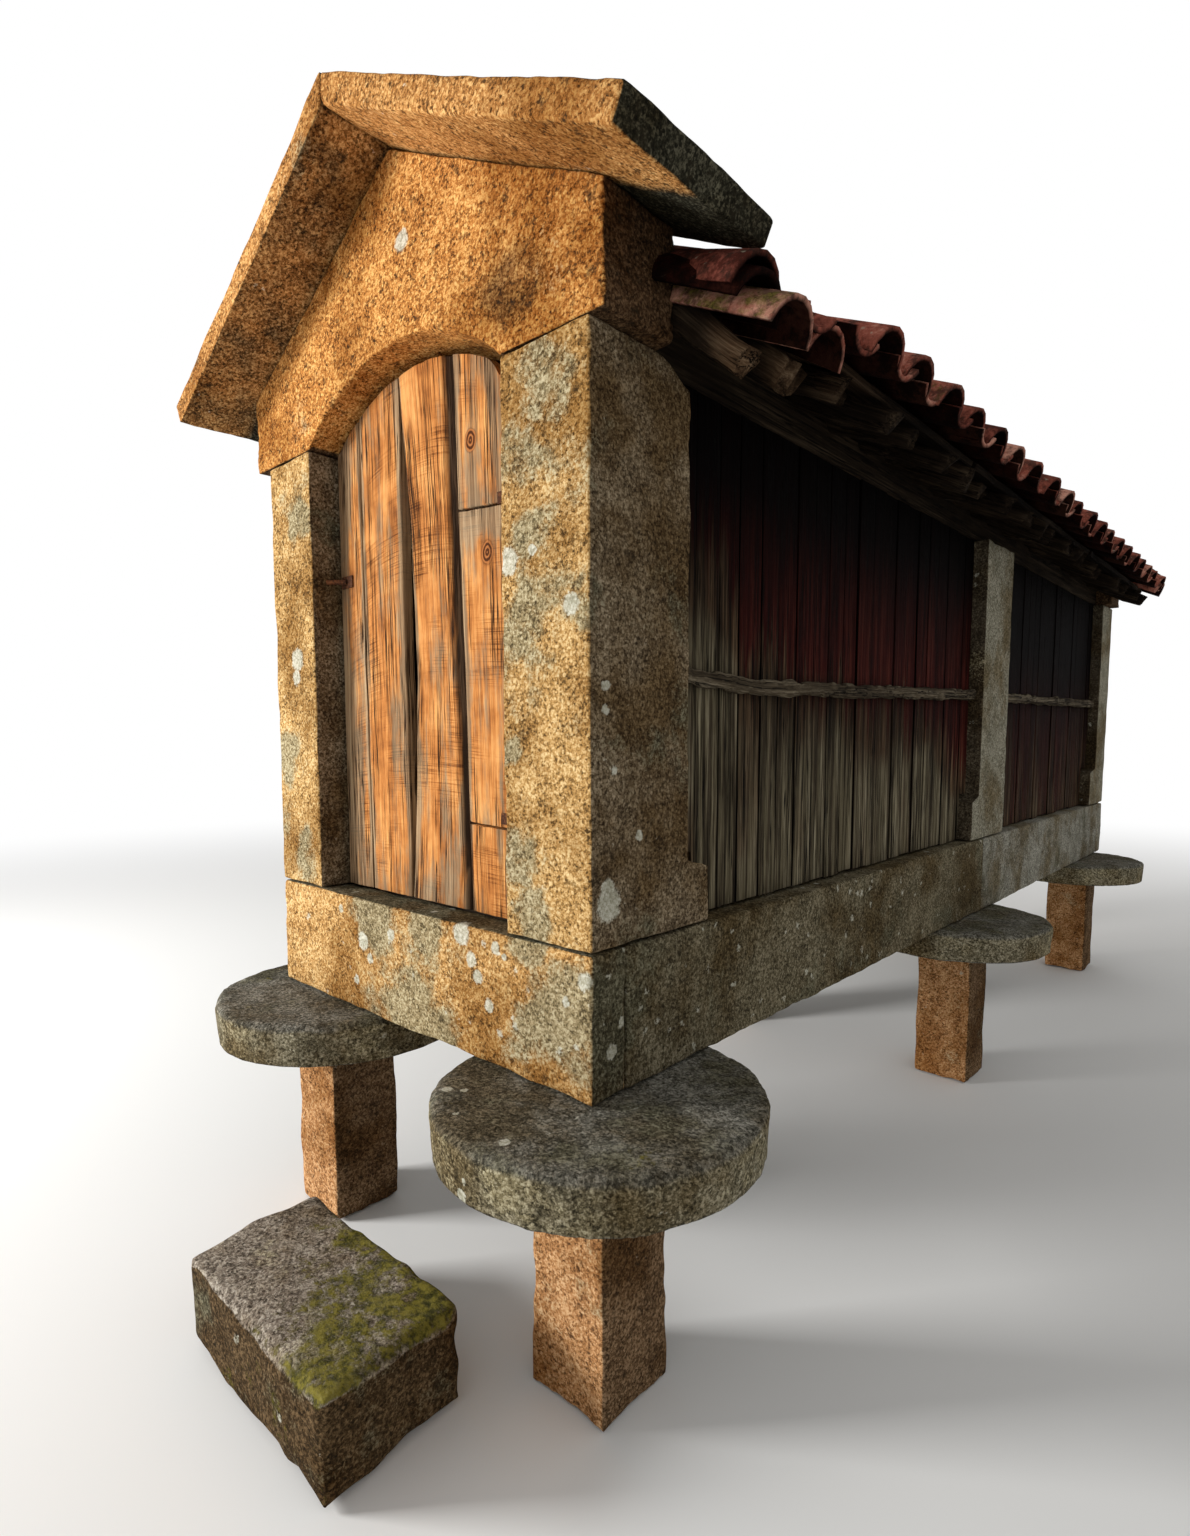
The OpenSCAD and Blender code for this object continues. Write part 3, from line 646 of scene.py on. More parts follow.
for number, (row, side) in enumerate(itertools.product(ROWS, SIDES)):
    low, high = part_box(f"post_{row}_{side}")
    if row == "front":
        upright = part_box(f"wall_{side}_front")[0].y - low.y
    elif row == "middle":
        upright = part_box(f"wall_{side}_front")[1].y - high.y
    else:
        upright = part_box(f"wall_{side}_rear")[1].y - high.y
    foot_top = FOOT_HEIGHTS[row]
    marks = ((), (), (floor_z + foot_top - SHOULDER, floor_z + foot_top))
    step = NEAR_STEP if row == "front" and side == "right" else FAR_STEP
    points, quads, out = hewn(low, high, step, POST_EDGE, POST_RELIEF, number + 60, marks=marks)
    points = drawn_foot(points, low, high, upright, foot_top)
    if row == "front":
        behind = ease(points[:, 1], low.y + HEAD_SEAT, low.y + upright)
        points[:, 2] -= HEAD_CUT * behind * ease(points[:, 2], high.z - HEAD_TALL, high.z)
    material = jamb_stone if row == "front" else side_stone
    # The sun layer marks faces that look forwards, and back except on the rear posts: on the jambs they are
    # painted sunlit, on the middle and rear posts they take the dark row of painted shade.
    sun = np.abs(out[:, 1]) if row != "rear" else np.clip(-out[:, 1], 0, 1)
    stone(f"{row}_{side}_post_stone", (points, quads, out), material, [f"post_{row}_{side}"], sun)

# Gables. One great granite stone closes each end above the posts. It is cut to the roof's pitch above
# and to a low arch below, and hangs over the side a little. It has the warmest colour of the whole
# front: its outer face and the inside of the arch are painted sunlit, its sides are in painted shade,
# and a patch over the right jamb is darkened with the shaded tones.
GABLE_EDGE = 0.014
GABLE_RELIEF = 0.010
ARCH_RISE = 0.183
GABLE_SPOTS = on_faces([(0.060, 3.155, 0.034), (0.107, 2.718, 0.020)])
DARK_PATCH_AT = (0.52, 2.87)
DARK_PATCH_SIZE = (0.20, 0.16)
DARK_PATCH_SHARE = 0.54
DARK_PATCH_RIM = (0.3, 1.3)
ARCH_SUN = 0.75
gable_stone = granite(
    "gable_stone",
    sunny=((84, 50, 26), (190, 124, 60), (236, 188, 116)),
    shady=((34, 24, 16), (76, 56, 38), (122, 96, 70)),
    crust=0.12,
    pale=0.10,
    soot=0.6,
    bump=0.008,
    spots=GABLE_SPOTS,
)
PITCH = math.radians(28)
post_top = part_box("gable_front")[0].z
ridge_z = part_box("gable_front")[1].z
front_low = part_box("front_sill")[0]
jamb_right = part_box("post_front_right")[0].x
jamb_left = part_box("post_front_left")[1].x
arch_x = (jamb_left + jamb_right) / 2
arch_half = (jamb_right - jamb_left) / 2
arch_radius = (arch_half**2 + ARCH_RISE**2) / (2 * ARCH_RISE)


def arch_height(x):
    """Height of the arch over the door: an arc through both jambs at the posts' tops, as high as its
    rise at the middle, and level with the posts' tops beyond the jambs."""
    drop = np.sqrt(np.maximum(arch_radius**2 - (x - arch_x) ** 2, 0)) - arch_radius
    return post_top + np.maximum(ARCH_RISE + drop, 0)


for number, (end, outside) in enumerate((("front", -1), ("rear", 1))):
    low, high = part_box(f"gable_{end}")
    marks = ((jamb_left, 0.0, jamb_right), (), ())
    step = NEAR_STEP if end == "front" else FAR_STEP
    points, quads, out = hewn(low, high, step, GABLE_EDGE, GABLE_RELIEF, number + 80, marks=marks)
    bottom = arch_height(points[:, 0])
    top = ridge_z - np.abs(points[:, 0]) * math.tan(PITCH)
    points[:, 2] = bottom + (points[:, 2] - low.z) / (high.z - low.z) * (top - bottom)
    under_arch = np.clip(-out[:, 2], 0, 1) * (np.abs(points[:, 0] - arch_x) < arch_half)
    sun = np.maximum(np.clip(outside * out[:, 1], 0, 1), ARCH_SUN * under_arch)
    # A patch over the right jamb is darkened: the sun layer is lowered there, so the shaded tones show.
    away = np.linalg.norm((points[:, ::2] - DARK_PATCH_AT) / DARK_PATCH_SIZE, axis=1)
    sun *= 1 - DARK_PATCH_SHARE * (1 - ease(away, *DARK_PATCH_RIM))
    stone(f"{end}_gable_stone", (points, quads, out), gable_stone, [f"gable_{end}"], sun)

# Cap slabs. A pair of raking granite slabs lies on each gable stone, butts at the ridge and stands out
# over the door and over the first tiles. Their lower ends are worn round, and their tops and ends are
# black with old lichen. Their outer faces and the outer part of their undersides are painted sunlit,
# and the same near black tones paint the shade on the rest of their undersides.
SLAB_EDGE = 0.011
SLAB_RELIEF = 0.005
SLAB_NOSE = 0.045
SLAB_REACH = 0.016
SLAB_MEET = 0.005
SLAB_GLOW = {"right": 0.8, "left": 0.52}
SLAB_GLOW_OUT = (0.35, 0.65)
SLAB_LIT = (0.3, 0.9)
SLAB_MOSS = 0.30
NOSE_THIN = 0.5
NOSE_IN = (0.4, 1)
slab_stone = granite(
    "slab_stone",
    sunny=((82, 54, 28), (184, 126, 68), (230, 184, 120)),
    shady=((22, 21, 16), (46, 44, 34), (96, 92, 76)),
    crust=0.12,
    pale=0.2,
    soot=0.6,
    bump=0.008,
)
slab_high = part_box("cap_slab_front_right")[1]
slab_t = (slab_high.z - ridge_z) * math.cos(PITCH)
slab_end = (slab_high.x - slab_t * math.sin(PITCH)) / math.cos(PITCH) + SLAB_REACH


def down_slope(along, y, above, side):
    """A place on a slope: along is its distance down the slope from the ridge line, above its distance
    square to the slope over the gables' tops. side is 1 on the right and -1 on the left."""
    x = along * math.cos(PITCH) + above * math.sin(PITCH)
    z = ridge_z - along * math.sin(PITCH) + above * math.cos(PITCH)
    return np.column_stack([side * x, y, z])


def outward(quads, side):
    """Faces turned over on the left side, where a slope's skin is mirrored."""
    return quads if side > 0 else quads[:, ::-1]


SLOPES = (("right", 1), ("left", -1))
for number, (end, (side, sign)) in enumerate(itertools.product(ENDS, SLOPES)):
    low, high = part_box(f"cap_slab_{end}_{side}")
    step = NEAR_STEP if end == "front" and side == "right" else FAR_STEP
    flat_low, flat_high = (0, low.y, 0), (slab_end, high.y, slab_t)
    points, quads, out = hewn(flat_low, flat_high, step, SLAB_EDGE, SLAB_RELIEF, number + 90)
    inwards = (points[:, 1] - low.y) / (high.y - low.y)
    inwards = inwards if end == "front" else 1 - inwards
    share = points[:, 0] / slab_end
    nose = np.clip((points[:, 0] - slab_end + SLAB_NOSE) / SLAB_NOSE, 0, 1) * ease(inwards, *NOSE_IN)
    above = slab_t / 2 + (points[:, 2] - slab_t / 2) * np.sqrt(1 - NOSE_THIN * nose**2)
    start = -above * math.tan(PITCH) - SLAB_MEET
    along = start + share * (slab_end - start)
    surface = (down_slope(along, points[:, 1], above, sign), outward(quads, sign), out)
    # Painted sunlight on the outer part of the undersides, stronger on the right slab.
    glow = SLAB_GLOW[side]
    under = glow * np.clip(-out[:, 2], 0, 1) * ease(1 - inwards, *SLAB_GLOW_OUT)
    sun = np.maximum(ease(np.abs(out[:, 1]), *SLAB_LIT) * (inwards < 0.5), under)
    moss = SLAB_MOSS * np.clip(out[:, 2], 0, 1)
    stone(f"{end}_{side}_cap_stone", surface, slab_stone, [f"cap_slab_{end}_{side}"], sun, moss)

# Floor and inner timbers. Boards lie across the granary on ledges in the side sills. The plates on the
# walls and the beam under the ridge are adzed chestnut. Their dark grey-brown is painted shade, inside
# the granary and under the eaves.
FLOOR_BOARDS = 31
FLOOR_GAP = 0.003
COARSE_STEP = 0.03
# Dark tones for wood inside the granary and under the eaves: painted shade.
SHADED_TIMBER = ((20, 15, 11), (42, 34, 26), (76, 64, 50))
GRAIN_STRETCH = 0.12
GRAIN_JUMP = 3.7
GRAIN_STEPS = 5
WAVE_CELL = 0.03


def streaks(tree, place, scale, detail=3.0, roughness=0.5, distortion=0.0):
    """Cloudy noise drawn out into streaks: it is read at the place times a scale for each axis."""
    drawn = node(tree, "Mapping", {"Vector": place, "Scale": scale}).outputs[0]
    return cloud(tree, drawn, 1.0, detail, roughness, distortion)


def make_fibre():
    """Wood fibre, read at a place whose third axis runs along the grain. Tone mixes wide bands and fine
    fibres, both drawn out along it. Split is where a band's middle level makes a thin long crack."""
    outputs = {"Tone": "Float", "Split": "Float", "Height": "Float"}
    tree, given, out = effect("wood_fibre", {"Place": "Vector"}, outputs)
    place = given["Place"]
    bands = streaks(tree, place, (34.0, 34.0, 1.3), 4.0, 0.6, 0.4)
    fibres = streaks(tree, place, (190.0, 190.0, 4.5), 5.0, 0.75)
    level = streaks(tree, place, (44.0, 44.0, 0.8), 4.0, 0.65)
    away = calc(tree, "ABSOLUTE", calc(tree, "SUBTRACT", level, 0.5))
    often = ramp(tree, streaks(tree, place, (9.0, 9.0, 2.0)), 0.40, 0.54)
    split = calc(tree, "MULTIPLY", ramp(tree, away, 0.008, 0.026, 1.0, 0.0), often)
    tree.links.new(weigh(tree, (bands, 0.50), (fibres, 0.50)), out["Tone"])
    tree.links.new(split, out["Split"])
    tree.links.new(weigh(tree, (bands, 0.35), (fibres, 0.5), (split, -0.9)), out["Height"])
    return tree


FIBRE = make_fibre()


def fibre_at(tree, place):
    """The tone, split and height of wood fibre at a place, as the outputs of the group."""
    return node(tree, "Group", {"Place": place}, node_tree=FIBRE).outputs


def timber(name, colours=SHADED_TIMBER, grain_axis=None, sunny=None):
    """Old unpainted wood. A grain axis of x or y turns the pattern along it, for a beam that has no
    grain layer of its own. Sunny colours are mixed in by the sun layer."""
    made, tree, place = start_material(name)
    turns = {"x": (0, math.pi / 2, 0), "y": (math.pi / 2, 0, 0)}
    if grain_axis:
        place = node(tree, "Mapping", {"Vector": place, "Rotation": turns[grain_axis]}).outputs[0]
    else:
        place = layer(tree, "grain", "Vector")
    tone, split, height = fibre_at(tree, place)
    colour = tones(tree, tone, *colours)
    grey = ramp(tree, cloud(tree, place, 3.0, 4.0), 0.45, 0.7, 0.0, 0.6)
    colour = blend(tree, grey, colour, paint(*colours[0]))
    if sunny:
        colour = blend(tree, layer(tree, "sun"), colour, tones(tree, tone, *sunny))
    colour = blend(tree, split, colour, paint(18, 14, 11))
    end_material(tree, colour, height, 0.005, 0.85)
    return made


def board(low, high, along, step, seed, edge=0.0025, relief=0.0015):
    """A sawn board between two corners, with its grain along the given axis. Its relief is long waves,
    and its grain layer is the place across and along it, moved on by a chance distance so that no two
    boards are alike."""
    stretch = np.ones(3)
    stretch[along] = GRAIN_STRETCH
    steps = np.where(np.arange(3) == along, GRAIN_STEPS * step, step)
    points, quads, out = hewn(low, high, steps, edge, relief, seed, WAVE_CELL, stretch)
    order = [axis for axis in range(3) if axis != along] + [along]
    grain = points[:, order] + GRAIN_JUMP * np.array([seed % 13, seed % 7, seed % 11])
    return points, quads, {"grain": grain}


beam_wood = timber("beam_wood", grain_axis="y")

old_boards = timber("old_boards")
low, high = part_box("floor_boards")
edges = np.linspace(low.y, high.y, FLOOR_BOARDS + 1)
parts = []
for number, (start, end) in enumerate(itertools.pairwise(edges)):
    corner, far = (low.x, start + FLOOR_GAP / 2, low.z), (high.x, end - FLOOR_GAP / 2, high.z)
    parts.append(board(corner, far, 0, COARSE_STEP, number))
piece("floor_board_row", joined(parts), old_boards, ["floor_boards"])

# Wall boards. Upright boards close each bay between the posts, set back from the stone and cut round
# the posts' feet. They were painted ox-blood red, which is left under the eaves. Lower down, and
# next to the front posts, rain has taken it off, and the bare wood is silver, brown and streaked.
BOARD_WIDTH = 0.118
BOARD_WANDER = 0.007
BOARD_GAPS = (0.0015, 0.0045)
BOARD_PLAY = 0.007
BOARD_RAGGED = 0.010
BOARD_SWAY = 0.0018
BOARD_SHADE = {"front": (1.80, 2.55), "rear": (0.9, 2.3)}
PAINT = ((22, 8, 7), (60, 21, 17), (104, 52, 41))
BARE = ((34, 29, 21), (106, 97, 76), (172, 162, 136))
BROWN = ((32, 23, 17), (80, 62, 45), (130, 107, 82))
DIRT = ((18, 14, 10), (46, 37, 28), (84, 70, 54))
PAINT_EDGE = ((0.0, 0.76), (0.09, 0.68), (0.14, 0.54), (0.25, 0.46), (0.5, 0.42), (0.8, 0.36), (1.0, 0.2))
PAINT_BLEND = 0.36
REAR_PAINT = 0.45
REAR_PAINT_GROWTH = 0.5
RAIL_LINE = (
    (-2.36, 1.926), (-2.294, 1.921), (-1.934, 1.903), (-1.293, 1.914), (0.055, 1.946), (2.85, 1.975),
)
BOARD_RIM = (0.002, 0.006)
BOARD_STEP = 0.014
BOARD_EDGE = 0.003
BOARD_RELIEF = 0.002
PAINT_CHANCE = 0.12
RAIL_SHADE = 0.5
RAIL_SHADE_FROM = (-2.2, -1.5)
RAIL_SHADE_DROP = (0.03, 0.42)


def wall_wood():
    """Weathered boards. The paint layer, broken up by streaks of fibre, mixes old red paint with bare
    silver wood. Dirt runs down it in dark streaks, the shade layer paints shade under the eaves, along
    the boards' edges and below the rail, and splits are near black."""
    made, tree, place = start_material("wall_wood")
    grain = layer(tree, "grain", "Vector")
    tone, split, height = fibre_at(tree, grain)
    streak = streaks(tree, grain, (60.0, 60.0, 1.6), 5.0, 0.68)
    share = weigh(tree, (layer(tree, "paint"), 1.0), (streak, 1.5), (tone, -0.5))
    painted = ramp(tree, share, 0.90, 1.20)
    near = weigh(tree, (layer(tree, "paint"), 0.8), (cloud(tree, place, 2.4, 4.0), 0.8), (tone, 0.3))
    brown = ramp(tree, near, 0.55, 0.85)
    bare = blend(tree, brown, tones(tree, tone, *BARE), tones(tree, tone, *BROWN))
    dirt_and_shade = ramp(tree, streaks(tree, grain, (58.0, 58.0, 1.1), 5.0, 0.7), 0.48, 0.55, 0.0, 0.82)
    bare = blend(tree, dirt_and_shade, bare, tones(tree, tone, *DIRT))
    colour = blend(tree, painted, bare, tones(tree, tone, *PAINT))
    # Painted shade, deepest where the shade layer is high.
    deep = blend(tree, 1.0, colour, paint(36, 19, 18), "MULTIPLY")
    colour = blend(tree, layer(tree, "shade"), colour, deep)
    colour = blend(tree, split, colour, paint(12, 9, 8))
    end_material(tree, colour, height, 0.006, 0.82)
    return made


red_boards = wall_wood()


def paint_left(y, z, front, back, end):
    """How much paint is left, from 0 to 1: it is a half at the paint's edge, whose height is given at
    shares of the front bay, and grows evenly with the height above it. The rear bay keeps all."""
    up = (z - floor_z) / (post_top - floor_z)
    if end == "rear":
        return REAR_PAINT + REAR_PAINT_GROWTH * up
    shares, heights = np.array(PAINT_EDGE).T
    edge = np.interp((y - front) / (back - front), shares, heights)
    return np.clip(0.5 + (up - edge) / PAINT_BLEND, 0, 1)


def board_row(low, high, feet, seed, end):
    """A bay of upright boards as joined parts. Board edges wander from even spacing, each board stands
    a little in or out of the row, and its foot rises over the feet of the posts: feet lists their
    spans along the wall and their heights."""
    draw = np.random.default_rng(seed)
    count = round((high.y - low.y) / BOARD_WIDTH)
    edges = np.linspace(low.y, high.y, count + 1)
    edges[1:-1] += draw.uniform(-BOARD_WANDER, BOARD_WANDER, count - 1)
    outer = 1 if low.x > 0 else -1
    parts = []
    for number, (near, away) in enumerate(itertools.pairwise(edges)):
        gap = draw.uniform(*BOARD_GAPS)
        corner, far = (low.x, near + gap / 2, floor_z), (high.x, away - gap / 2, post_top)
        own = seed * 50 + number
        points, quads, layers = board(corner, far, 2, BOARD_STEP, own, BOARD_EDGE, BOARD_RELIEF)
        points[:, 0] -= outer * draw.uniform(0, BOARD_PLAY)
        rise = sum(height * ((points[:, 1] > a) & (points[:, 1] < b)) for a, b, height in feet)
        rise = rise + draw.uniform(0, BOARD_RAGGED)
        share = (points[:, 2] - floor_z) / (post_top - floor_z)
        points[:, 2] = floor_z + rise + share * (post_top - floor_z - rise)
        points[:, 1] += BOARD_SWAY * noise(points * [1, 1, 0.25], 0.12, seed + number)
        left = paint_left(points[:, 1], points[:, 2], low.y, high.y, end)
        layers["paint"] = left + PAINT_CHANCE * draw.uniform(-1, 1)
        # The shade layer holds painted shade under the eaves and along each board's edges, and painted shade
        # mixed with dirt just below the rail.
        rim = np.minimum(points[:, 1] - near, away - points[:, 1])
        below = np.interp(points[:, 1], *np.array(RAIL_LINE).T) - points[:, 2]
        dirt_and_shade = (below > 0) * (1 - ease(below, *RAIL_SHADE_DROP)) * ease(points[:, 1], *RAIL_SHADE_FROM)
        shades = (ease(points[:, 2], *BOARD_SHADE[end]), 1 - ease(rim, *BOARD_RIM), RAIL_SHADE * dirt_and_shade)
        layers["shade"] = np.max(shades, axis=0)
        parts.append((points, quads, layers))
    return joined(parts)


for number, (side, end) in enumerate(itertools.product(SIDES, ENDS)):
    low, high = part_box(f"wall_{side}_{end}")
    last = "middle" if end == "front" else "rear"
    feet = [(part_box(f"post_{last}_{side}")[0].y, high.y, FOOT_HEIGHTS[last])]
    if end == "front":
        feet.append((low.y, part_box(f"post_front_{side}")[1].y, FOOT_HEIGHTS["front"]))
    surface = board_row(low, high, feet, number + 1, end)
    piece(f"{side}_{end}_wall_boards", surface, red_boards, [f"wall_{side}_{end}"])

# Middle rails. A thin rough batten is nailed across the boards of each bay, half-way up. It sags in
# the long front bay and its outer edge is split and bleached grey.
RAIL_STEP = 0.012
RAIL_RING = 16
RAIL_HEIGHT = 0.052
RAIL_NOTCH = 0.016
RAIL_BEND = 0.005
RAIL_LUMPS = 0.45
rail_wood = timber("rail_wood", ((24, 19, 14), (78, 68, 54), (150, 138, 116)))


def carried(path, across, up, ring):
    """A ring carried along a path. At each stop of the path, the ring's two offsets are laid along the
    directions across and up. Quads join each ring to the next, and fold each end's two halves
    together. They are turned over where the path runs against the cross product of across and up."""
    stops, count = ring.shape[:2]
    across, up = np.array(across, float), np.array(up, float)
    points = path[:, None] + ring[..., :1] * across + ring[..., 1:] * up
    first, turn = np.arange(stops - 1)[:, None] * count, np.arange(count)
    after = (turn + 1) % count
    sides = np.stack([first + turn, first + after, first + count + after, first + count + turn], axis=-1)
    half = np.arange(count // 2 - 1)
    cap = np.column_stack([half, count - 1 - half, count - 2 - half, half + 1])
    quads = np.concatenate([sides.reshape(-1, 4), cap, cap[:, ::-1] + (stops - 1) * count])
    if np.dot(np.cross(across, up), path[-1] - path[0]) < 0:
        quads = quads[:, ::-1]
    along = np.linalg.norm(path - path[0], axis=1)[:, None, None]
    grain = np.concatenate([ring, np.broadcast_to(along, (stops, count, 1))], axis=-1)
    return points.reshape(-1, 3), quads, grain.reshape(-1, 3)


def rough_ring(stops, count, width, height, seed, amount, squareness=0.55):
    """Offsets of a lumpy ring: the powers of cosine and sine draw a rounded square of that width and
    height, and noise, slow along the path, swells and shrinks it by the given share."""
    angle = np.arange(count) / count * 2 * math.pi
    drawn = [np.sign(wave) * np.abs(wave) ** squareness for wave in (np.cos(angle), np.sin(angle))]
    ring = np.tile(np.column_stack([drawn[0] * width / 2, drawn[1] * height / 2]), (stops, 1, 1))
    along = np.broadcast_to(np.arange(stops)[:, None, None] * RAIL_STEP, (stops, count, 1))
    read = np.concatenate([ring, along], axis=-1).reshape(-1, 3)
    return ring * (1 + amount * fractal(read, 0.05, seed).reshape(stops, count, 1))


rail_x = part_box("mid_rails")[1].x
depth = rail_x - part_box("wall_right_front")[1].x
parts = []
for number, ((side, sign), end) in enumerate(itertools.product(SLOPES, ENDS)):
    low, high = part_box(f"wall_{side}_{end}")
    ys = np.arange(low.y, high.y, RAIL_STEP)
    xs = np.full_like(ys, sign * (rail_x - depth / 2))
    path = np.column_stack([xs, ys, np.interp(ys, *np.array(RAIL_LINE).T)])
    path[:, 2] += RAIL_BEND * noise(path, 0.3, number)
    ring = rough_ring(len(ys), RAIL_RING, depth, RAIL_HEIGHT, number + 5, RAIL_LUMPS)
    notches = RAIL_NOTCH * np.clip(noise(path * [0, 1, 0], 0.035, number + 8), 0, 1)[:, None]
    ring[..., 1] -= notches * (ring[..., 1] > 0)
    points, quads, grain = carried(path, (1, 0, 0), (0, 0, 1), ring)
    parts.append((points, quads, {"grain": grain + number}))
piece("nailed_rails", joined(parts), rail_wood, ["mid_rails"])

# Rafters. Rough chestnut poles, split and barely squared, run down each slope, one under each row of
# tiles. Their tails stand out under the eaves, broken off at chance lengths. They are painted near
# black as painted shade under the eaves, and the tails at the front carry painted sunlight. At the
# front right corner rot has let the eave sink.
ROOF_ROWS = 22
POLE_WIDTH = 0.074
POLE_TAILS = (1.19, 1.28)
POLE_STEPS = 36
POLE_RING = 14
POLE_SPLINTER = 0.035
POLE_DEPTH = 0.084
POLE_HEAD = 0.05
POLE_SEAT = 0.006
POLE_SAG = 0.008
POLE_LUMPS = 0.5
POLE_SQUARE = 0.7
POLE_BEND = 0.016
POLE_KINK = 0.008
POLE_SLIM = 0.28
POLE_SLIM_FROM = 0.30
POLE_SUN = 0.7
POLE_SUN_UNTIL = (-2.4, -1.8)
POLE_SUN_PAST = (0.90, 0.98)
BOARD_UNDER = 0.111
SUNK = 0.075
SUNK_AT = (0.95, 1.30)
SUNK_FROM = (-1.95, -2.35)
SUNNY_WOOD = ((44, 30, 20), (104, 80, 58), (160, 134, 106))
# Near black tones are painted shade under the eaves; the sunny ones are painted sunlight.
pole_wood = timber("pole_wood", ((16, 12, 9), (38, 30, 23), (74, 62, 48)), sunny=SUNNY_WOOD)


def sunk(along, y, sign):
    """How far the right slope has sunk at a place: nothing but at the eave by the front gable."""
    near = 1 - ease(y, SUNK_FROM[1], SUNK_FROM[0])
    return SUNK * ease(along, *SUNK_AT) * near * (sign > 0)


low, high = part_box("rafters")
draw = np.random.default_rng(5)
parts = []
places = np.linspace(low.y + POLE_WIDTH / 2, high.y - POLE_WIDTH / 2, ROOF_ROWS)
for number, (sign, y) in enumerate(itertools.product((1, -1), places)):
    tail = draw.uniform(*POLE_TAILS)
    along = np.linspace(POLE_HEAD, tail, POLE_STEPS)
    place = np.column_stack([along, along * 0 + number, along * 0])
    ys = y + POLE_BEND * noise(place, 0.35, 1) + POLE_KINK * noise(place, 0.12, 2)
    above = -BOARD_UNDER - POLE_DEPTH / 2 - POLE_SEAT + POLE_SAG * noise(place, 0.3, 3)
    above = above - sunk(along, y, sign)
    slim = 1 - POLE_SLIM * ease(along, tail - POLE_SLIM_FROM, tail) * draw.uniform(0.2, 1)
    ring = rough_ring(POLE_STEPS, POLE_RING, POLE_WIDTH, POLE_DEPTH, number, POLE_LUMPS, POLE_SQUARE)
    slope = (sign * math.sin(PITCH), 0, math.cos(PITCH))
    path = down_slope(along, ys, above, sign)
    points, quads, grain = carried(path, (0, 1, 0), slope, ring * slim[:, None, None])
    last = np.arange(len(points)) >= len(points) - POLE_RING
    splinter = POLE_SPLINTER * noise(points * 3, 0.05, number) * last
    points += splinter[:, None] * [sign * math.cos(PITCH), 0, -math.sin(PITCH)]
    ahead = 1 - ease(points[:, 1], *POLE_SUN_UNTIL)
    sun = POLE_SUN * ahead * ease(np.abs(points[:, 0]), *POLE_SUN_PAST)
    parts.append((points, quads, {"grain": grain + draw.uniform(0, 9), "sun": sun}))
piece("rafter_poles", joined(parts), pole_wood, ["rafters"])

# Roof boards. Thin rough boards are nailed along the roof over the rafters and carry the tiles. Their
# undersides show at the eaves, with ragged ends and open joints, painted nearly black as painted shade
# and with painted sunlight at the front. The lowest ones have rotted away at the front right corner.
ROOF_BOARD_WIDTH = 0.14
ROOF_BOARD_LENGTHS = 3
ROOF_BOARD_REACH = 1.21
ROOF_BOARD_GAP = 0.007
ROOF_BOARD_JOINTS = 0.6
ROOF_BOARD_RAGGED = 0.022
ROOF_BOARD_SUN = 0.3
ROOF_BOARD_SUN_UNTIL = (-2.3, -1.4)
ROTTED = (0.20, 0.42)
SHEATH_T = 0.024
low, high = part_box("roof_boards")
# Near black tones are painted shade under the eaves; the sunny ones are painted sunlight.
roof_wood = timber("roof_wood", ((10, 8, 6), (26, 20, 15), (56, 46, 36)), sunny=SUNNY_WOOD)
draw = np.random.default_rng(6)
count = round(ROOF_BOARD_REACH / ROOF_BOARD_WIDTH)
parts = []
for number, (sign, row) in enumerate(itertools.product((1, -1), range(count))):
    first = low.y + (ROTTED[row - count + 2] if sign > 0 and row >= count - 2 else 0)
    joints = np.linspace(first, high.y, ROOF_BOARD_LENGTHS + 1)
    joints[1:-1] += draw.uniform(-ROOF_BOARD_JOINTS, ROOF_BOARD_JOINTS, ROOF_BOARD_LENGTHS - 1)
    top = row * ROOF_BOARD_REACH / count + ROOF_BOARD_GAP / 2
    foot = (row + 1) * ROOF_BOARD_REACH / count - ROOF_BOARD_GAP / 2
    for start, end in itertools.pairwise(joints):
        seed = int(draw.integers(1000))
        corner = (top, start + ROOF_BOARD_GAP / 2, -BOARD_UNDER)
        far = (foot, end - ROOF_BOARD_GAP / 2, SHEATH_T - BOARD_UNDER)
        points, quads, layers = board(corner, far, 1, COARSE_STEP, seed)
        ragged = ROOF_BOARD_RAGGED * noise(points * [0, 1, 0], 0.12, seed)
        points[:, 0] += ragged * (row == count - 1)
        ahead = 1 - ease(points[:, 1], *ROOF_BOARD_SUN_UNTIL)
        layers["sun"] = ROOF_BOARD_SUN * ahead * (points[:, 0] > 1)
        parts.append((down_slope(*points.T, sign), outward(quads, sign), layers))
piece("roof_board_rows", joined(parts), roof_wood, ["roof_boards"])

# Tiles. Each slope carries rows of hand-made clay tiles, tapered half-pipes in four courses: channels
# lie hollow side up between the rows, and covers lie over their edges. None is fixed, so they sit
# askew. At the front right corner three have slipped and lie piled under the cap slab.
TILE_T = 0.014
TILE_RADIUS = 0.090
TILE_TAPER = 0.010
TILE_LENGTH = 0.43
TILE_COURSES = 4
TILE_ARC = 8
TILE_STOPS = 4
COVER_SPAN = math.radians(84)
COVER_AXIS = -0.106
COVER_RAISE = 0.032
COVER_SHIFT = 0.042
CHANNEL_SPAN = math.radians(60)
CHANNEL_AXIS = 0.006
TILE_LIFT = 0.013
TILE_MOSS = 0.45
TILE_SWING = 0.018
TILE_SLIDE = 0.012
TILE_PLAY = 0.003
TILE_SHIFT = 0.005
TILE_ROLL = 0.05
EAVE_INSET = 0.006
PAST_RIDGE = 0.03
RAISED_FROM = (0.4, 0.8)
CHANNEL_SINK = 0.5


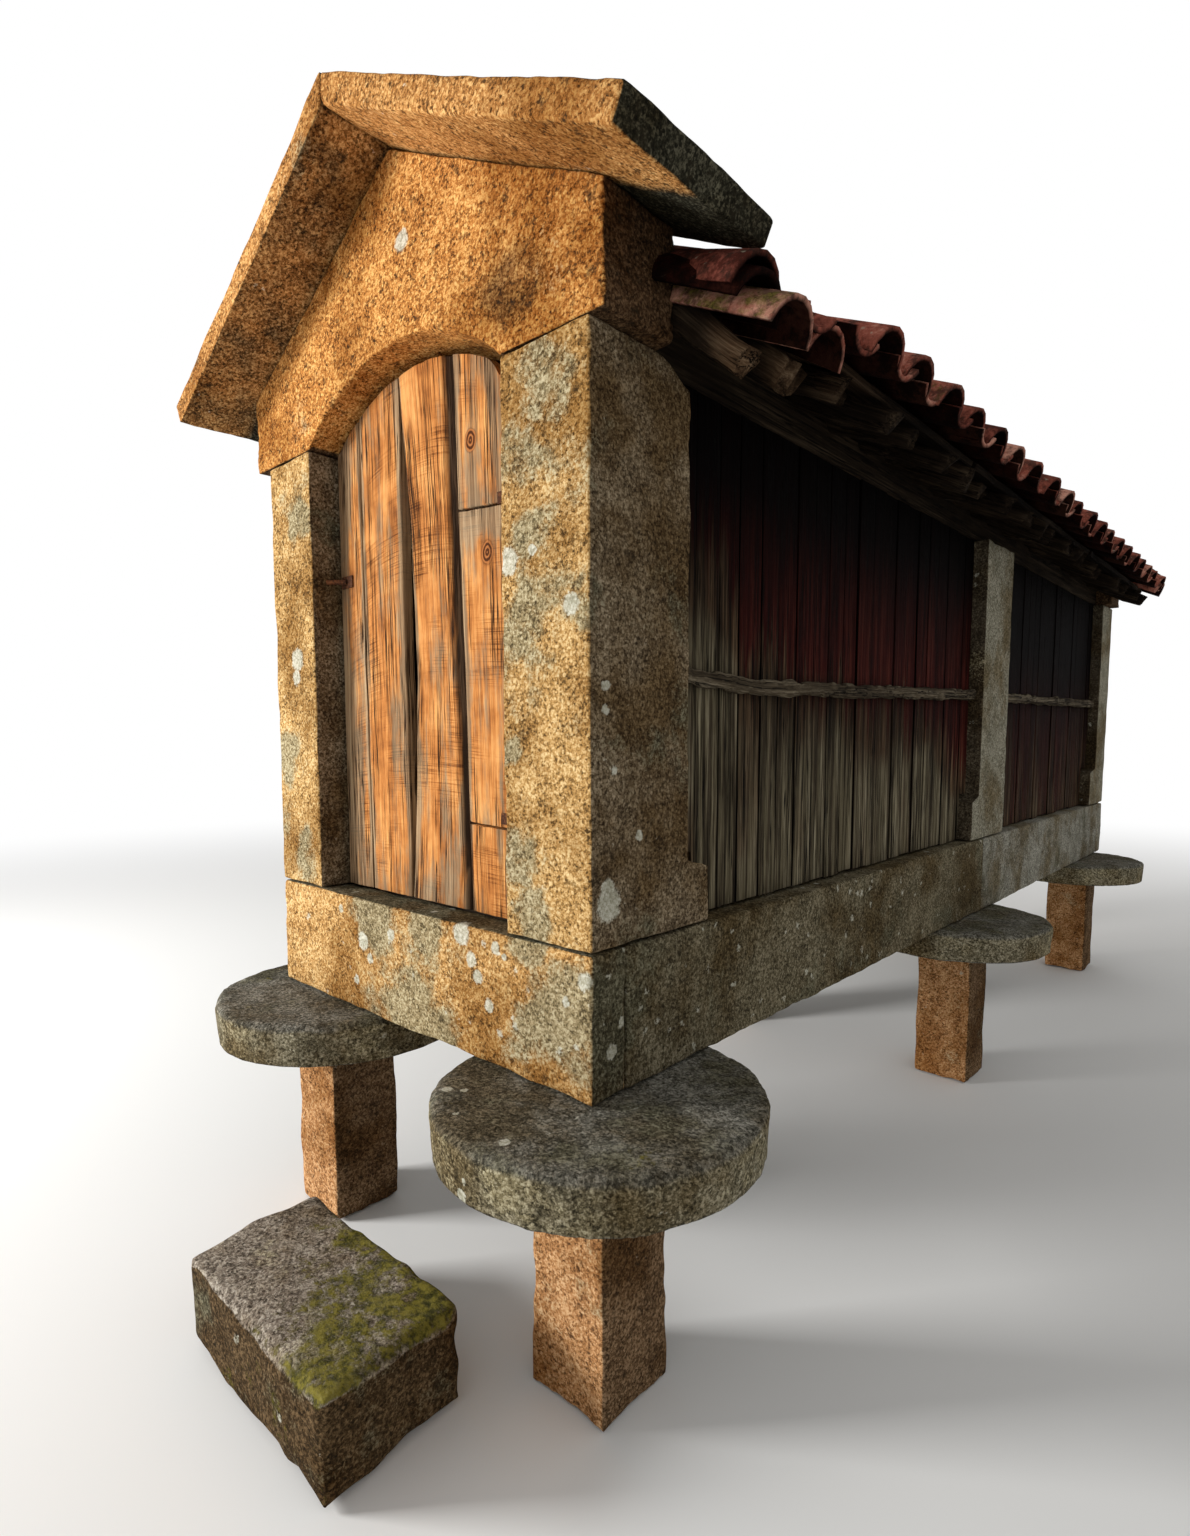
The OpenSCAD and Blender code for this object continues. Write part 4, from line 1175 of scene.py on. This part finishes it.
def clay_tiles():
    """Old red clay. Each tile has its own tone layer from dull brown to pink, with grime in patches, pale
    lichen blots, green-yellow moss where the moss layer is high, and painted shade by the shade layer."""
    made, tree, place = start_material("clay_tiles")
    own = layer(tree, "tone")
    fine = cloud(tree, place, 75.0, 5.0, 0.75)
    value = weigh(tree, (own, 0.30), (cloud(tree, place, 12.0, 5.0, 0.65), 0.45), (fine, 0.35))
    colour = tones(tree, calc(tree, "SUBTRACT", value, 0.05), (80, 40, 32), (160, 90, 74), (214, 158, 136))
    grime = ramp(tree, cloud(tree, place, 16.0, 6.0, 0.7), 0.45, 0.60, 0.0, 0.8)
    colour = blend(tree, grime, colour, paint(46, 36, 30))
    blots = weigh(tree, (colonies(tree, place, 30.0, 0.4, fine), 0.55))
    colour = blend(tree, blots, colour, paint(172, 160, 138))
    growth = weigh(tree, (layer(tree, "moss"), 1.0), (cloud(tree, place, 18.0, 5.0, 0.7), 0.8))
    green = blend(tree, ramp(tree, fine, 0.35, 0.65), MOSS_DARK, MOSS_LIGHT)
    colour = blend(tree, ramp(tree, growth, 0.8, 1.0, 0.0, 0.85), colour, green)
    # Painted shade on undersides, in hollows and on the tile under the cap slab's shadow.
    dim = blend(tree, 1.0, colour, paint(52, 44, 40), "MULTIPLY")
    colour = blend(tree, layer(tree, "shade"), colour, dim)
    height = weigh(tree, (fine, 0.6), (cloud(tree, place, 22.0, 4.0), 0.4))
    end_material(tree, colour, height, 0.005, 0.88)
    return made


def pipe_wall(radius, arc):
    """The wall of a half-pipe as offsets from its axis: an arc out, and the same arc back a wall's
    thickness nearer the axis."""
    outer, inner = [
        np.stack([reach * np.sin(arc), reach * np.cos(arc)], axis=-1) for reach in (radius, radius - TILE_T)
    ]
    return np.concatenate([outer, inner[:, ::-1]], axis=1)


def clay_tile(sign, draw, tip, y, axis, hollow=False, roll=0.0, yaw=0.0, drop=0.0, moss=0.0, shade=0.0):
    """A tapered half-pipe tile whose lower end is at the distance tip down the slope. The ring of its
    wall is carried up the slope. A hollow tile lies on its back. Roll turns it about its own axis, yaw
    swings its upper end, and drop lowers its tip. Its inner face and its underside are in shade."""
    share = np.linspace(0, 1, TILE_STOPS)
    swing = yaw + TILE_SWING * draw.uniform(-1, 1)
    along = tip - share * TILE_LENGTH + TILE_SLIDE * draw.uniform(-1, 1)
    above = axis + TILE_LIFT * (0.5 - share) - drop * (1 - share) + TILE_PLAY * draw.uniform(-1, 1)
    path = down_slope(along, y + swing * share + TILE_SHIFT * draw.uniform(-1, 1), above, sign)
    span = CHANNEL_SPAN if hollow else COVER_SPAN
    arc = np.linspace(span, -span, TILE_ARC + 1) + roll + TILE_ROLL * draw.uniform(-1, 1)
    taper = TILE_TAPER * (share - 0.5) * (1 if hollow else -1)
    radius = TILE_RADIUS + taper[:, None] + TILE_PLAY * draw.uniform(-1, 1)
    ring = pipe_wall(radius, arc)
    slope = np.array([sign * math.sin(PITCH), 0, math.cos(PITCH)])
    points, quads, _ = carried(path, (0, 1, 0), -slope if hollow else slope, ring)
    inside = np.tile(np.repeat([0.0, 1.0], TILE_ARC + 1), TILE_STOPS)
    dim = 1 - inside if hollow else inside + (1 - inside) * shade
    tone = np.full(len(points), draw.uniform(0, 1))
    return points, quads, {"tone": tone, "moss": moss * (1 - inside), "shade": dim}


clay = clay_tiles()
SLIPPED = (
    {"tip": 1.330, "y": -2.420, "axis": -0.162, "moss": 0.48},
    {"tip": 1.268, "y": -2.480, "axis": -0.148, "roll": 0.10, "yaw": -0.03, "shade": 0.9},
    {"tip": 1.262, "y": -2.505, "axis": -0.119, "roll": -0.12, "yaw": 0.06},
)
for side, sign in SLOPES:
    low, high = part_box(f"tiles_{side}")
    eave = max(abs(low.x), abs(high.x)) / math.cos(PITCH) - EAVE_INSET
    spacing = (high.y - low.y) / ROOF_ROWS
    draw = np.random.default_rng(7 + sign)
    parts = []
    for row, course in itertools.product(range(ROOF_ROWS + 1), range(TILE_COURSES)):
        tip = eave - course * (eave - TILE_LENGTH + PAST_RIDGE) / (TILE_COURSES - 1)
        start = low.y + COVER_SHIFT + row * spacing
        y, trough = np.clip([start, start + spacing / 2], low.y + TILE_RADIUS, high.y - TILE_RADIUS)
        if row < ROOF_ROWS:
            drop = CHANNEL_SINK * sunk(tip, trough, sign)
            parts.append(clay_tile(sign, draw, tip, trough, CHANNEL_AXIS, True, drop=drop))
        if (row, course, sign) != (0, 0, 1):
            raised = COVER_RAISE * ease(tip, *RAISED_FROM) * (1 < row < ROOF_ROWS)
            moss = TILE_MOSS * draw.uniform(0, 1) ** 3
            drop = sunk(tip, y, sign)
            parts.append(clay_tile(sign, draw, tip, y, COVER_AXIS + raised, drop=drop, moss=moss))
    if sign > 0:
        parts.extend(clay_tile(sign, draw, **tile) for tile in SLIPPED)
    piece(f"{side}_roof_tiles", joined(parts), clay, [f"tiles_{side}"])

# Ridge tiles. A row of wider half-pipes of the same clay is bedded over the ridge, each lapping the
# next one, and closes the gap between the two slopes.
RIDGE_LENGTH = 0.42
RIDGE_LAP = 0.06
RIDGE_SUNK = 0.012
RIDGE_TILT = 0.016
RIDGE_SHIFT = 0.004
RIDGE_TAPER = 0.004
low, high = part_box("ridge_tiles")
ridge_radius = (high.x - low.x) / 2
draw = np.random.default_rng(8)
count = round((high.y - low.y - RIDGE_LAP) / (RIDGE_LENGTH - RIDGE_LAP))
pace = (high.y - low.y - RIDGE_LAP) / count
parts = []
share = np.linspace(0, 1, TILE_STOPS)
arc = np.linspace(math.pi / 2, -math.pi / 2, 2 * TILE_ARC + 1)
ring = pipe_wall((ridge_radius - RIDGE_TAPER * share)[:, None], arc)
for number in range(count):
    start = low.y + number * pace
    heights = low.z - RIDGE_SUNK + RIDGE_TILT * share + TILE_PLAY * draw.uniform(-1, 1)
    sideways = np.full(TILE_STOPS, RIDGE_SHIFT * draw.uniform(-1, 1))
    path = np.column_stack([sideways, start + share * (pace + RIDGE_LAP), heights])
    points, quads, _ = carried(path, (1, 0, 0), (0, 0, 1), ring)
    tone = np.full(len(points), draw.uniform(0, 1))
    parts.append((points, quads, {"tone": tone, "moss": tone * TILE_MOSS, "shade": tone * 0}))
piece("ridge_tile_row", joined(parts), clay, ["ridge_tiles"])

# Rear planks. Five upright oak planks, fixed for good, close the rear end between its posts. Their
# tops stand in the arch, a little way into the stone.
REAR_PLANKS = 5
PLANK_STEP = 0.009
PLANK_ROUND = 0.004
PLANK_RELIEF = 0.0016
PLANK_CUP = 0.003
PLANK_WANDER = 0.003
BARK_DEPTH = 0.024
REAR_GAP = 0.006
REAR_SEAT = 0.004
OAK = ((104, 58, 28), (186, 118, 60), (220, 160, 96))
OAK_GREY = ((78, 65, 50), (136, 118, 92), (182, 164, 134))
BARK = ((20, 14, 10), (50, 36, 25), (104, 80, 58))
KNOTS = ((0.304, -2.66, 2.267), (0.236, -2.66, 2.589))
KNOT_SIZE = (0.030, 0.2, 0.038)
LEAF_SPAN = (1.239, 2.849)
PLANK_MIDDLE = 1.8
RIM_WEAR = 0.22
CHANCE_WEAR = 0.12


def knot_at(tree, place, centre):
    """A knot in a board's face: how far it covers, from 0 to 1, and the tone of its rings."""
    shrink = [1 / size for size in KNOT_SIZE]
    shift = [-middle / size for middle, size in zip(centre, KNOT_SIZE)]
    near = node(tree, "Mapping", {"Vector": place, "Location": shift, "Scale": shrink}).outputs[0]
    near = node(tree, "VectorMath", {0: near, 1: (1.0, 0.0, 1.0)}, operation="MULTIPLY").outputs[0]
    away = node(tree, "VectorMath", {0: near}, operation="LENGTH").outputs["Value"]
    away = weigh(tree, (away, 1.0), (cloud(tree, place, 60.0), 0.25))
    rings = ramp(tree, calc(tree, "SINE", calc(tree, "MULTIPLY", away, 16.0)), -0.6, 0.8, 0.35, 0.62)
    return ramp(tree, away, 0.85, 1.15, 1.0, 0.0), rings


def door_boards(name):
    """Sawn oak, gone orange-brown where the sun reaches it. Fine saw marks run across the grain in
    patches, grey weathering is drawn out upwards and follows the layer of wear and painted shadow, the
    bark layer turns an edge dark, and knots are dark rings."""
    made, tree, place = start_material(name)
    grain = layer(tree, "grain", "Vector")
    tone, split, height = fibre_at(tree, grain)
    fine = streaks(tree, grain, (420.0, 420.0, 6.0), 3.0, 0.7)
    saw = node(tree, "Mapping", {"Vector": grain, "Scale": (4.0, 4.0, 260.0), "Rotation": (0.0, 0.12, 0.0)})
    patch = ramp(tree, cloud(tree, place, 4.5, 3.0), 0.45, 0.65)
    marks = calc(tree, "MULTIPLY", ramp(tree, cloud(tree, saw.outputs[0], 1.0, 3.0, 0.6), 0.5, 0.62), patch)
    mottle = cloud(tree, place, 6.0, 4.0, 0.6)
    value = weigh(tree, (tone, 0.75), (fine, 0.6), (marks, -0.15), (mottle, 0.55))
    colour = tones(tree, calc(tree, "SUBTRACT", value, 0.44), *OAK)
    stains = streaks(tree, grain, (16.0, 16.0, 2.6), 5.0, 0.68)
    wear_and_shadow = weigh(tree, (layer(tree, "wear_and_shadow"), 1.0), (stains, 1.0), (tone, -0.25))
    grey = ramp(tree, wear_and_shadow, 0.36, 0.54, 0.0, 0.8)
    colour = blend(tree, grey, colour, tones(tree, tone, *OAK_GREY))
    colour = blend(tree, layer(tree, "bark"), colour, tones(tree, tone, *BARK))
    for centre in KNOTS:
        cover, rings = knot_at(tree, place, centre)
        colour = blend(tree, cover, colour, tones(tree, rings, (70, 38, 20), (118, 68, 36), (176, 112, 62)))
    colour = blend(tree, split, colour, paint(50, 32, 20))
    height = weigh(tree, (height, 1.0), (marks, -0.2), (layer(tree, "bark"), -0.5))
    end_material(tree, colour, height, 0.003, 0.75)
    return made


def planked(left, right, foot, top, depths, seed, bark=None):
    """One upright plank. left and right give its edges at a height, and foot and top its ends at a
    place across. A straight block is drawn into these limits, cupped a little, and its edges wander as
    a saw leaves them. From the bark line on, if there is one, its edge falls back from the face."""
    width = right(PLANK_MIDDLE) - left(PLANK_MIDDLE)
    centre = (left(PLANK_MIDDLE) + right(PLANK_MIDDLE)) / 2
    tall = top(centre) - foot(centre)
    corner, far = (0.0, depths[0], 0.0), (width, depths[1], tall)
    points, quads, layers = board(corner, far, 2, PLANK_STEP, seed, PLANK_ROUND, PLANK_RELIEF)
    across, up = points[:, 0] / width, points[:, 2] / tall
    x, z = points[:, 0], foot(centre) + up * tall
    for _ in range(2):
        near = left(z) + PLANK_WANDER * noise(z[:, None] * [0, 0, 1] + seed, 0.16, seed)
        far = right(z) + PLANK_WANDER * noise(z[:, None] * [0, 0, 1] - seed, 0.14, seed)
        x = near + across * (far - near)
        z = foot(x) + up * (top(x) - foot(x))
    waney = 0 * x if bark is None else np.clip((x - bark(z)) / (far - bark(z)), 0, 1)
    waney *= 1 + 0.3 * noise(np.column_stack([x, x, z]), 0.03, seed)
    front = (depths[1] - points[:, 1]) / (depths[1] - depths[0])
    y = points[:, 1] + PLANK_CUP * (2 * across - 1) ** 2 + BARK_DEPTH * np.clip(waney * front, 0, 1)
    rim = 1 - np.minimum(across, 1 - across) * 2
    wear_and_shadow = RIM_WEAR * ease(rim, 0.75, 1) + CHANCE_WEAR * noise(points * [1, 1, 0.3], 0.2, seed)
    layers |= {"wear_and_shadow": wear_and_shadow, "bark": ease(waney, 0.05, 0.3)}
    return np.column_stack([x, y, z]), quads, layers


def straight(ends, shift=0.0, gape=0.0):
    """A plank's edge as a function of the height. It leans evenly between its places at the foot and
    the top of the door, is moved sideways by a shift, and bows by the gape, half a sine wave."""
    def edge(z):
        share = (z - LEAF_SPAN[0]) / (LEAF_SPAN[1] - LEAF_SPAN[0])
        return ends[0] + (ends[1] - ends[0]) * share + shift + gape * np.sin(math.pi * share)
    return edge


def slanted(ends, shift=0.0):
    """A plank's cut end as a function of the place across: a line through two places, each given by
    its place across and its height, moved up by a shift."""
    (x0, z0), (x1, z1) = ends
    return lambda x: z0 + (z1 - z0) * (x - x0) / (x1 - x0) + shift


door_wood = door_boards("door_wood")
low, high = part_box("rear_planks")
edges = np.linspace(low.x, high.x, REAR_PLANKS + 1)
rear_foot = slanted(((low.x, low.z), (high.x, low.z)))
parts = [
    planked(
        straight((near, near), REAR_GAP / 2),
        straight((away, away), -REAR_GAP / 2),
        rear_foot,
        lambda x: arch_height(x) + REAR_SEAT,
        (low.y, high.y),
        number,
    )
    for number, (near, away) in enumerate(itertools.pairwise(edges))
]
piece("rear_plank_wall", joined(parts), door_wood, ["rear_planks"])

# Door. Four wide oak planks of unequal width hang on two ledges behind them. Their joints lean, the
# middle one gapes, the third keeps a bark edge, and the last is pieced out of three lengths. Their
# tops follow the arch, and stay low enough to swing out under it.
ARCH_GAP = 0.024
SWING_GAP = 0.006
LATCH_JOINT = (-0.334, -0.356)
MIDDLE_JOINT = (-0.103, -0.120)
LAST_JOINT = (0.212, 0.156)
BARK_LINE = (0.176, 0.100)
JOINT_GAP = 0.005
MIDDLE_GAPE = 0.052
LAST_CUTS = (((0.203, 1.493), (0.358, 1.487)), ((0.171, 2.408), (0.350, 2.393)))
CUT_GAP = 0.005
JAMB_SHADOW = 0.22
JAMB_SHADOW_PAST = (0.03, 0.12)
PATCH_WEAR = 0.24
PATCH_WEAR_FROM = (2.28, 2.36)
pivot_x, pivot_y = frame["joints"][0]["pos_m"][:2]
low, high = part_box("door_planks")


def leaf_top(x):
    """The leaf's upper edge. It is the arch less a gap, or lower if needed: a point of the leaf swings
    on a circle round the pivot, and where that circle leaves the stone, the arch has to be higher by
    the swing gap. The place where it does is found with Pythagoras from its two distances."""
    x = np.minimum(x + PLANK_STEP, pivot_x)
    depth = low.y - pivot_y
    reach = (pivot_x - x) ** 2 + depth**2 - (pivot_y - front_low.y) ** 2
    crossing = pivot_x - np.sqrt(np.maximum(reach, depth**2))
    return np.minimum(arch_height(x) - ARCH_GAP, arch_height(crossing) - SWING_GAP)


leaf_foot = slanted(((low.x, low.z), (high.x, low.z)))
edge_left, edge_right = straight((low.x, low.x)), straight((high.x, high.x))
latch_left, latch_right = straight(LATCH_JOINT, -JOINT_GAP / 2), straight(LATCH_JOINT, JOINT_GAP / 2)
middle_right = straight(MIDDLE_JOINT, JOINT_GAP, MIDDLE_GAPE)
last_left, last_right = straight(LAST_JOINT, -JOINT_GAP), straight(LAST_JOINT)
lower_cut, upper_cut = LAST_CUTS
depths = (low.y, high.y)
leaf = [
    planked(edge_left, latch_left, leaf_foot, leaf_top, depths, 5),
    planked(latch_right, straight(MIDDLE_JOINT), leaf_foot, leaf_top, depths, 6),
    planked(middle_right, last_left, leaf_foot, leaf_top, depths, 7, straight(BARK_LINE)),
    planked(last_right, edge_right, leaf_foot, slanted(lower_cut, -CUT_GAP), depths, 8),
    planked(last_right, edge_right, slanted(lower_cut), slanted(upper_cut, -CUT_GAP), depths, 9),
    planked(last_right, edge_right, slanted(upper_cut), leaf_top, depths, 10),
]
(first_points, _, first_layers), (patch_points, _, patch_layers) = leaf[0], leaf[4]
# The grey strip along the first plank's left edge is painted shadow, cast by the left jamb.
shadow_from, shadow_to = (low.x + past for past in JAMB_SHADOW_PAST)
first_layers["wear_and_shadow"] += JAMB_SHADOW * (1 - ease(first_points[:, 0], shadow_from, shadow_to))
patch_layers["wear_and_shadow"] += PATCH_WEAR * ease(patch_points[:, 2], *PATCH_WEAR_FROM)
piece("door_plank_leaf", joined(leaf), door_wood, ["door_planks"], "door")

# Door fittings. Two ledges cross the back of the door. Each carries a forged strap with an eye that
# turns on a pin in the right jamb, and a bent rod on an iron plate serves as latch. All iron is rust.
def rust(name):
    """Forged iron, rusted all over, in dark brown with orange powder in the hollows."""
    made, tree, place = start_material(name)
    scale = cloud(tree, place, 120.0, 5.0, 0.7)
    value = weigh(tree, (scale, 0.6), (cloud(tree, place, 30.0, 3.0), 0.4))
    colour = tones(tree, value, (38, 28, 24), (78, 50, 36), (128, 82, 52))
    end_material(tree, colour, scale, 0.0015, 0.8)
    return made


def dressed(names, material):
    """Gives CAD nodes that stay as they are a material of their own."""
    for name in names:
        frame["nodes"][name].data.materials.clear()
        frame["nodes"][name].data.materials.append(material)


dressed(("wall_plates", "ridge_beam"), beam_wood)
dressed(("door_ledges",), timber("ledge_wood", OAK_GREY, grain_axis="x"))
dressed(("door_hinges", "hinge_pintles", "door_latch"), rust("rust"))

# Studio. The granary stands on a plain pale floor against white, in soft even light from all round
# and a large soft lamp from the front left, where the low sun stands.
FLOOR_SIZE = 60.0
FLOOR_COLOUR = paint(238, 237, 234)
FLOOR_FADE = (4.0, 15.0)
WHITE = (1.0, 1.0, 1.0, 1.0)
SKY_STRENGTH = 0.55
KEY_PLACE = (-6.2, -9.0, 3.3)
KEY_AIM = (0.0, -1.0, 1.6)
KEY_SIZE = 2.4
KEY_POWER = 1120.0

floor_mesh = bpy.data.meshes.new("floor")
half = FLOOR_SIZE / 2
corners = [(-half, -half, 0), (half, -half, 0), (half, half, 0), (-half, half, 0)]
floor_mesh.from_pydata(corners, [], [(0, 1, 2, 3)])
floor = placed("floor", floor_mesh)
floor_material, tree, place = start_material("pale_floor")
distance = node(tree, "VectorMath", {0: place}, operation="LENGTH").outputs["Value"]
far_off = ramp(tree, distance, *FLOOR_FADE)
camera_ray = node(tree, "LightPath").outputs["Is Camera Ray"]
plain = node(tree, "BsdfPrincipled", {"Base Color": FLOOR_COLOUR, "Roughness": 0.9})
white = node(tree, "Emission", {"Color": WHITE, "Strength": 1.0})
share = calc(tree, "MULTIPLY", far_off, camera_ray)
surface = node(tree, "MixShader", {0: share, 1: plain.outputs[0], 2: white.outputs[0]})
node(tree, "OutputMaterial", {"Surface": surface.outputs[0]})
floor_mesh.materials.append(floor_material)

world = bpy.data.worlds.new("studio")
world.use_nodes = True
tree = world.node_tree
tree.nodes.clear()
rays = node(tree, "LightPath").outputs
mirrored = calc(tree, "MAXIMUM", rays["Is Glossy Ray"], rays["Is Transmission Ray"])
seen = calc(tree, "MAXIMUM", rays["Is Camera Ray"], mirrored)
strength = ramp(tree, seen, 0.0, 1.0, SKY_STRENGTH, 1.0)
sky = node(tree, "Background", {"Color": WHITE, "Strength": strength})
node(tree, "OutputWorld", {"Surface": sky.outputs[0]})
bpy.context.scene.world = world

key = placed("key", bpy.data.lights.new("key", "AREA"))
key.data.size = KEY_SIZE
key.data.energy = KEY_POWER
key.location = KEY_PLACE
key.rotation_euler = (Vector(KEY_AIM) - Vector(KEY_PLACE)).to_track_quat("-Z", "Y").to_euler()

bpy.context.scene.view_settings.view_transform = "Standard"
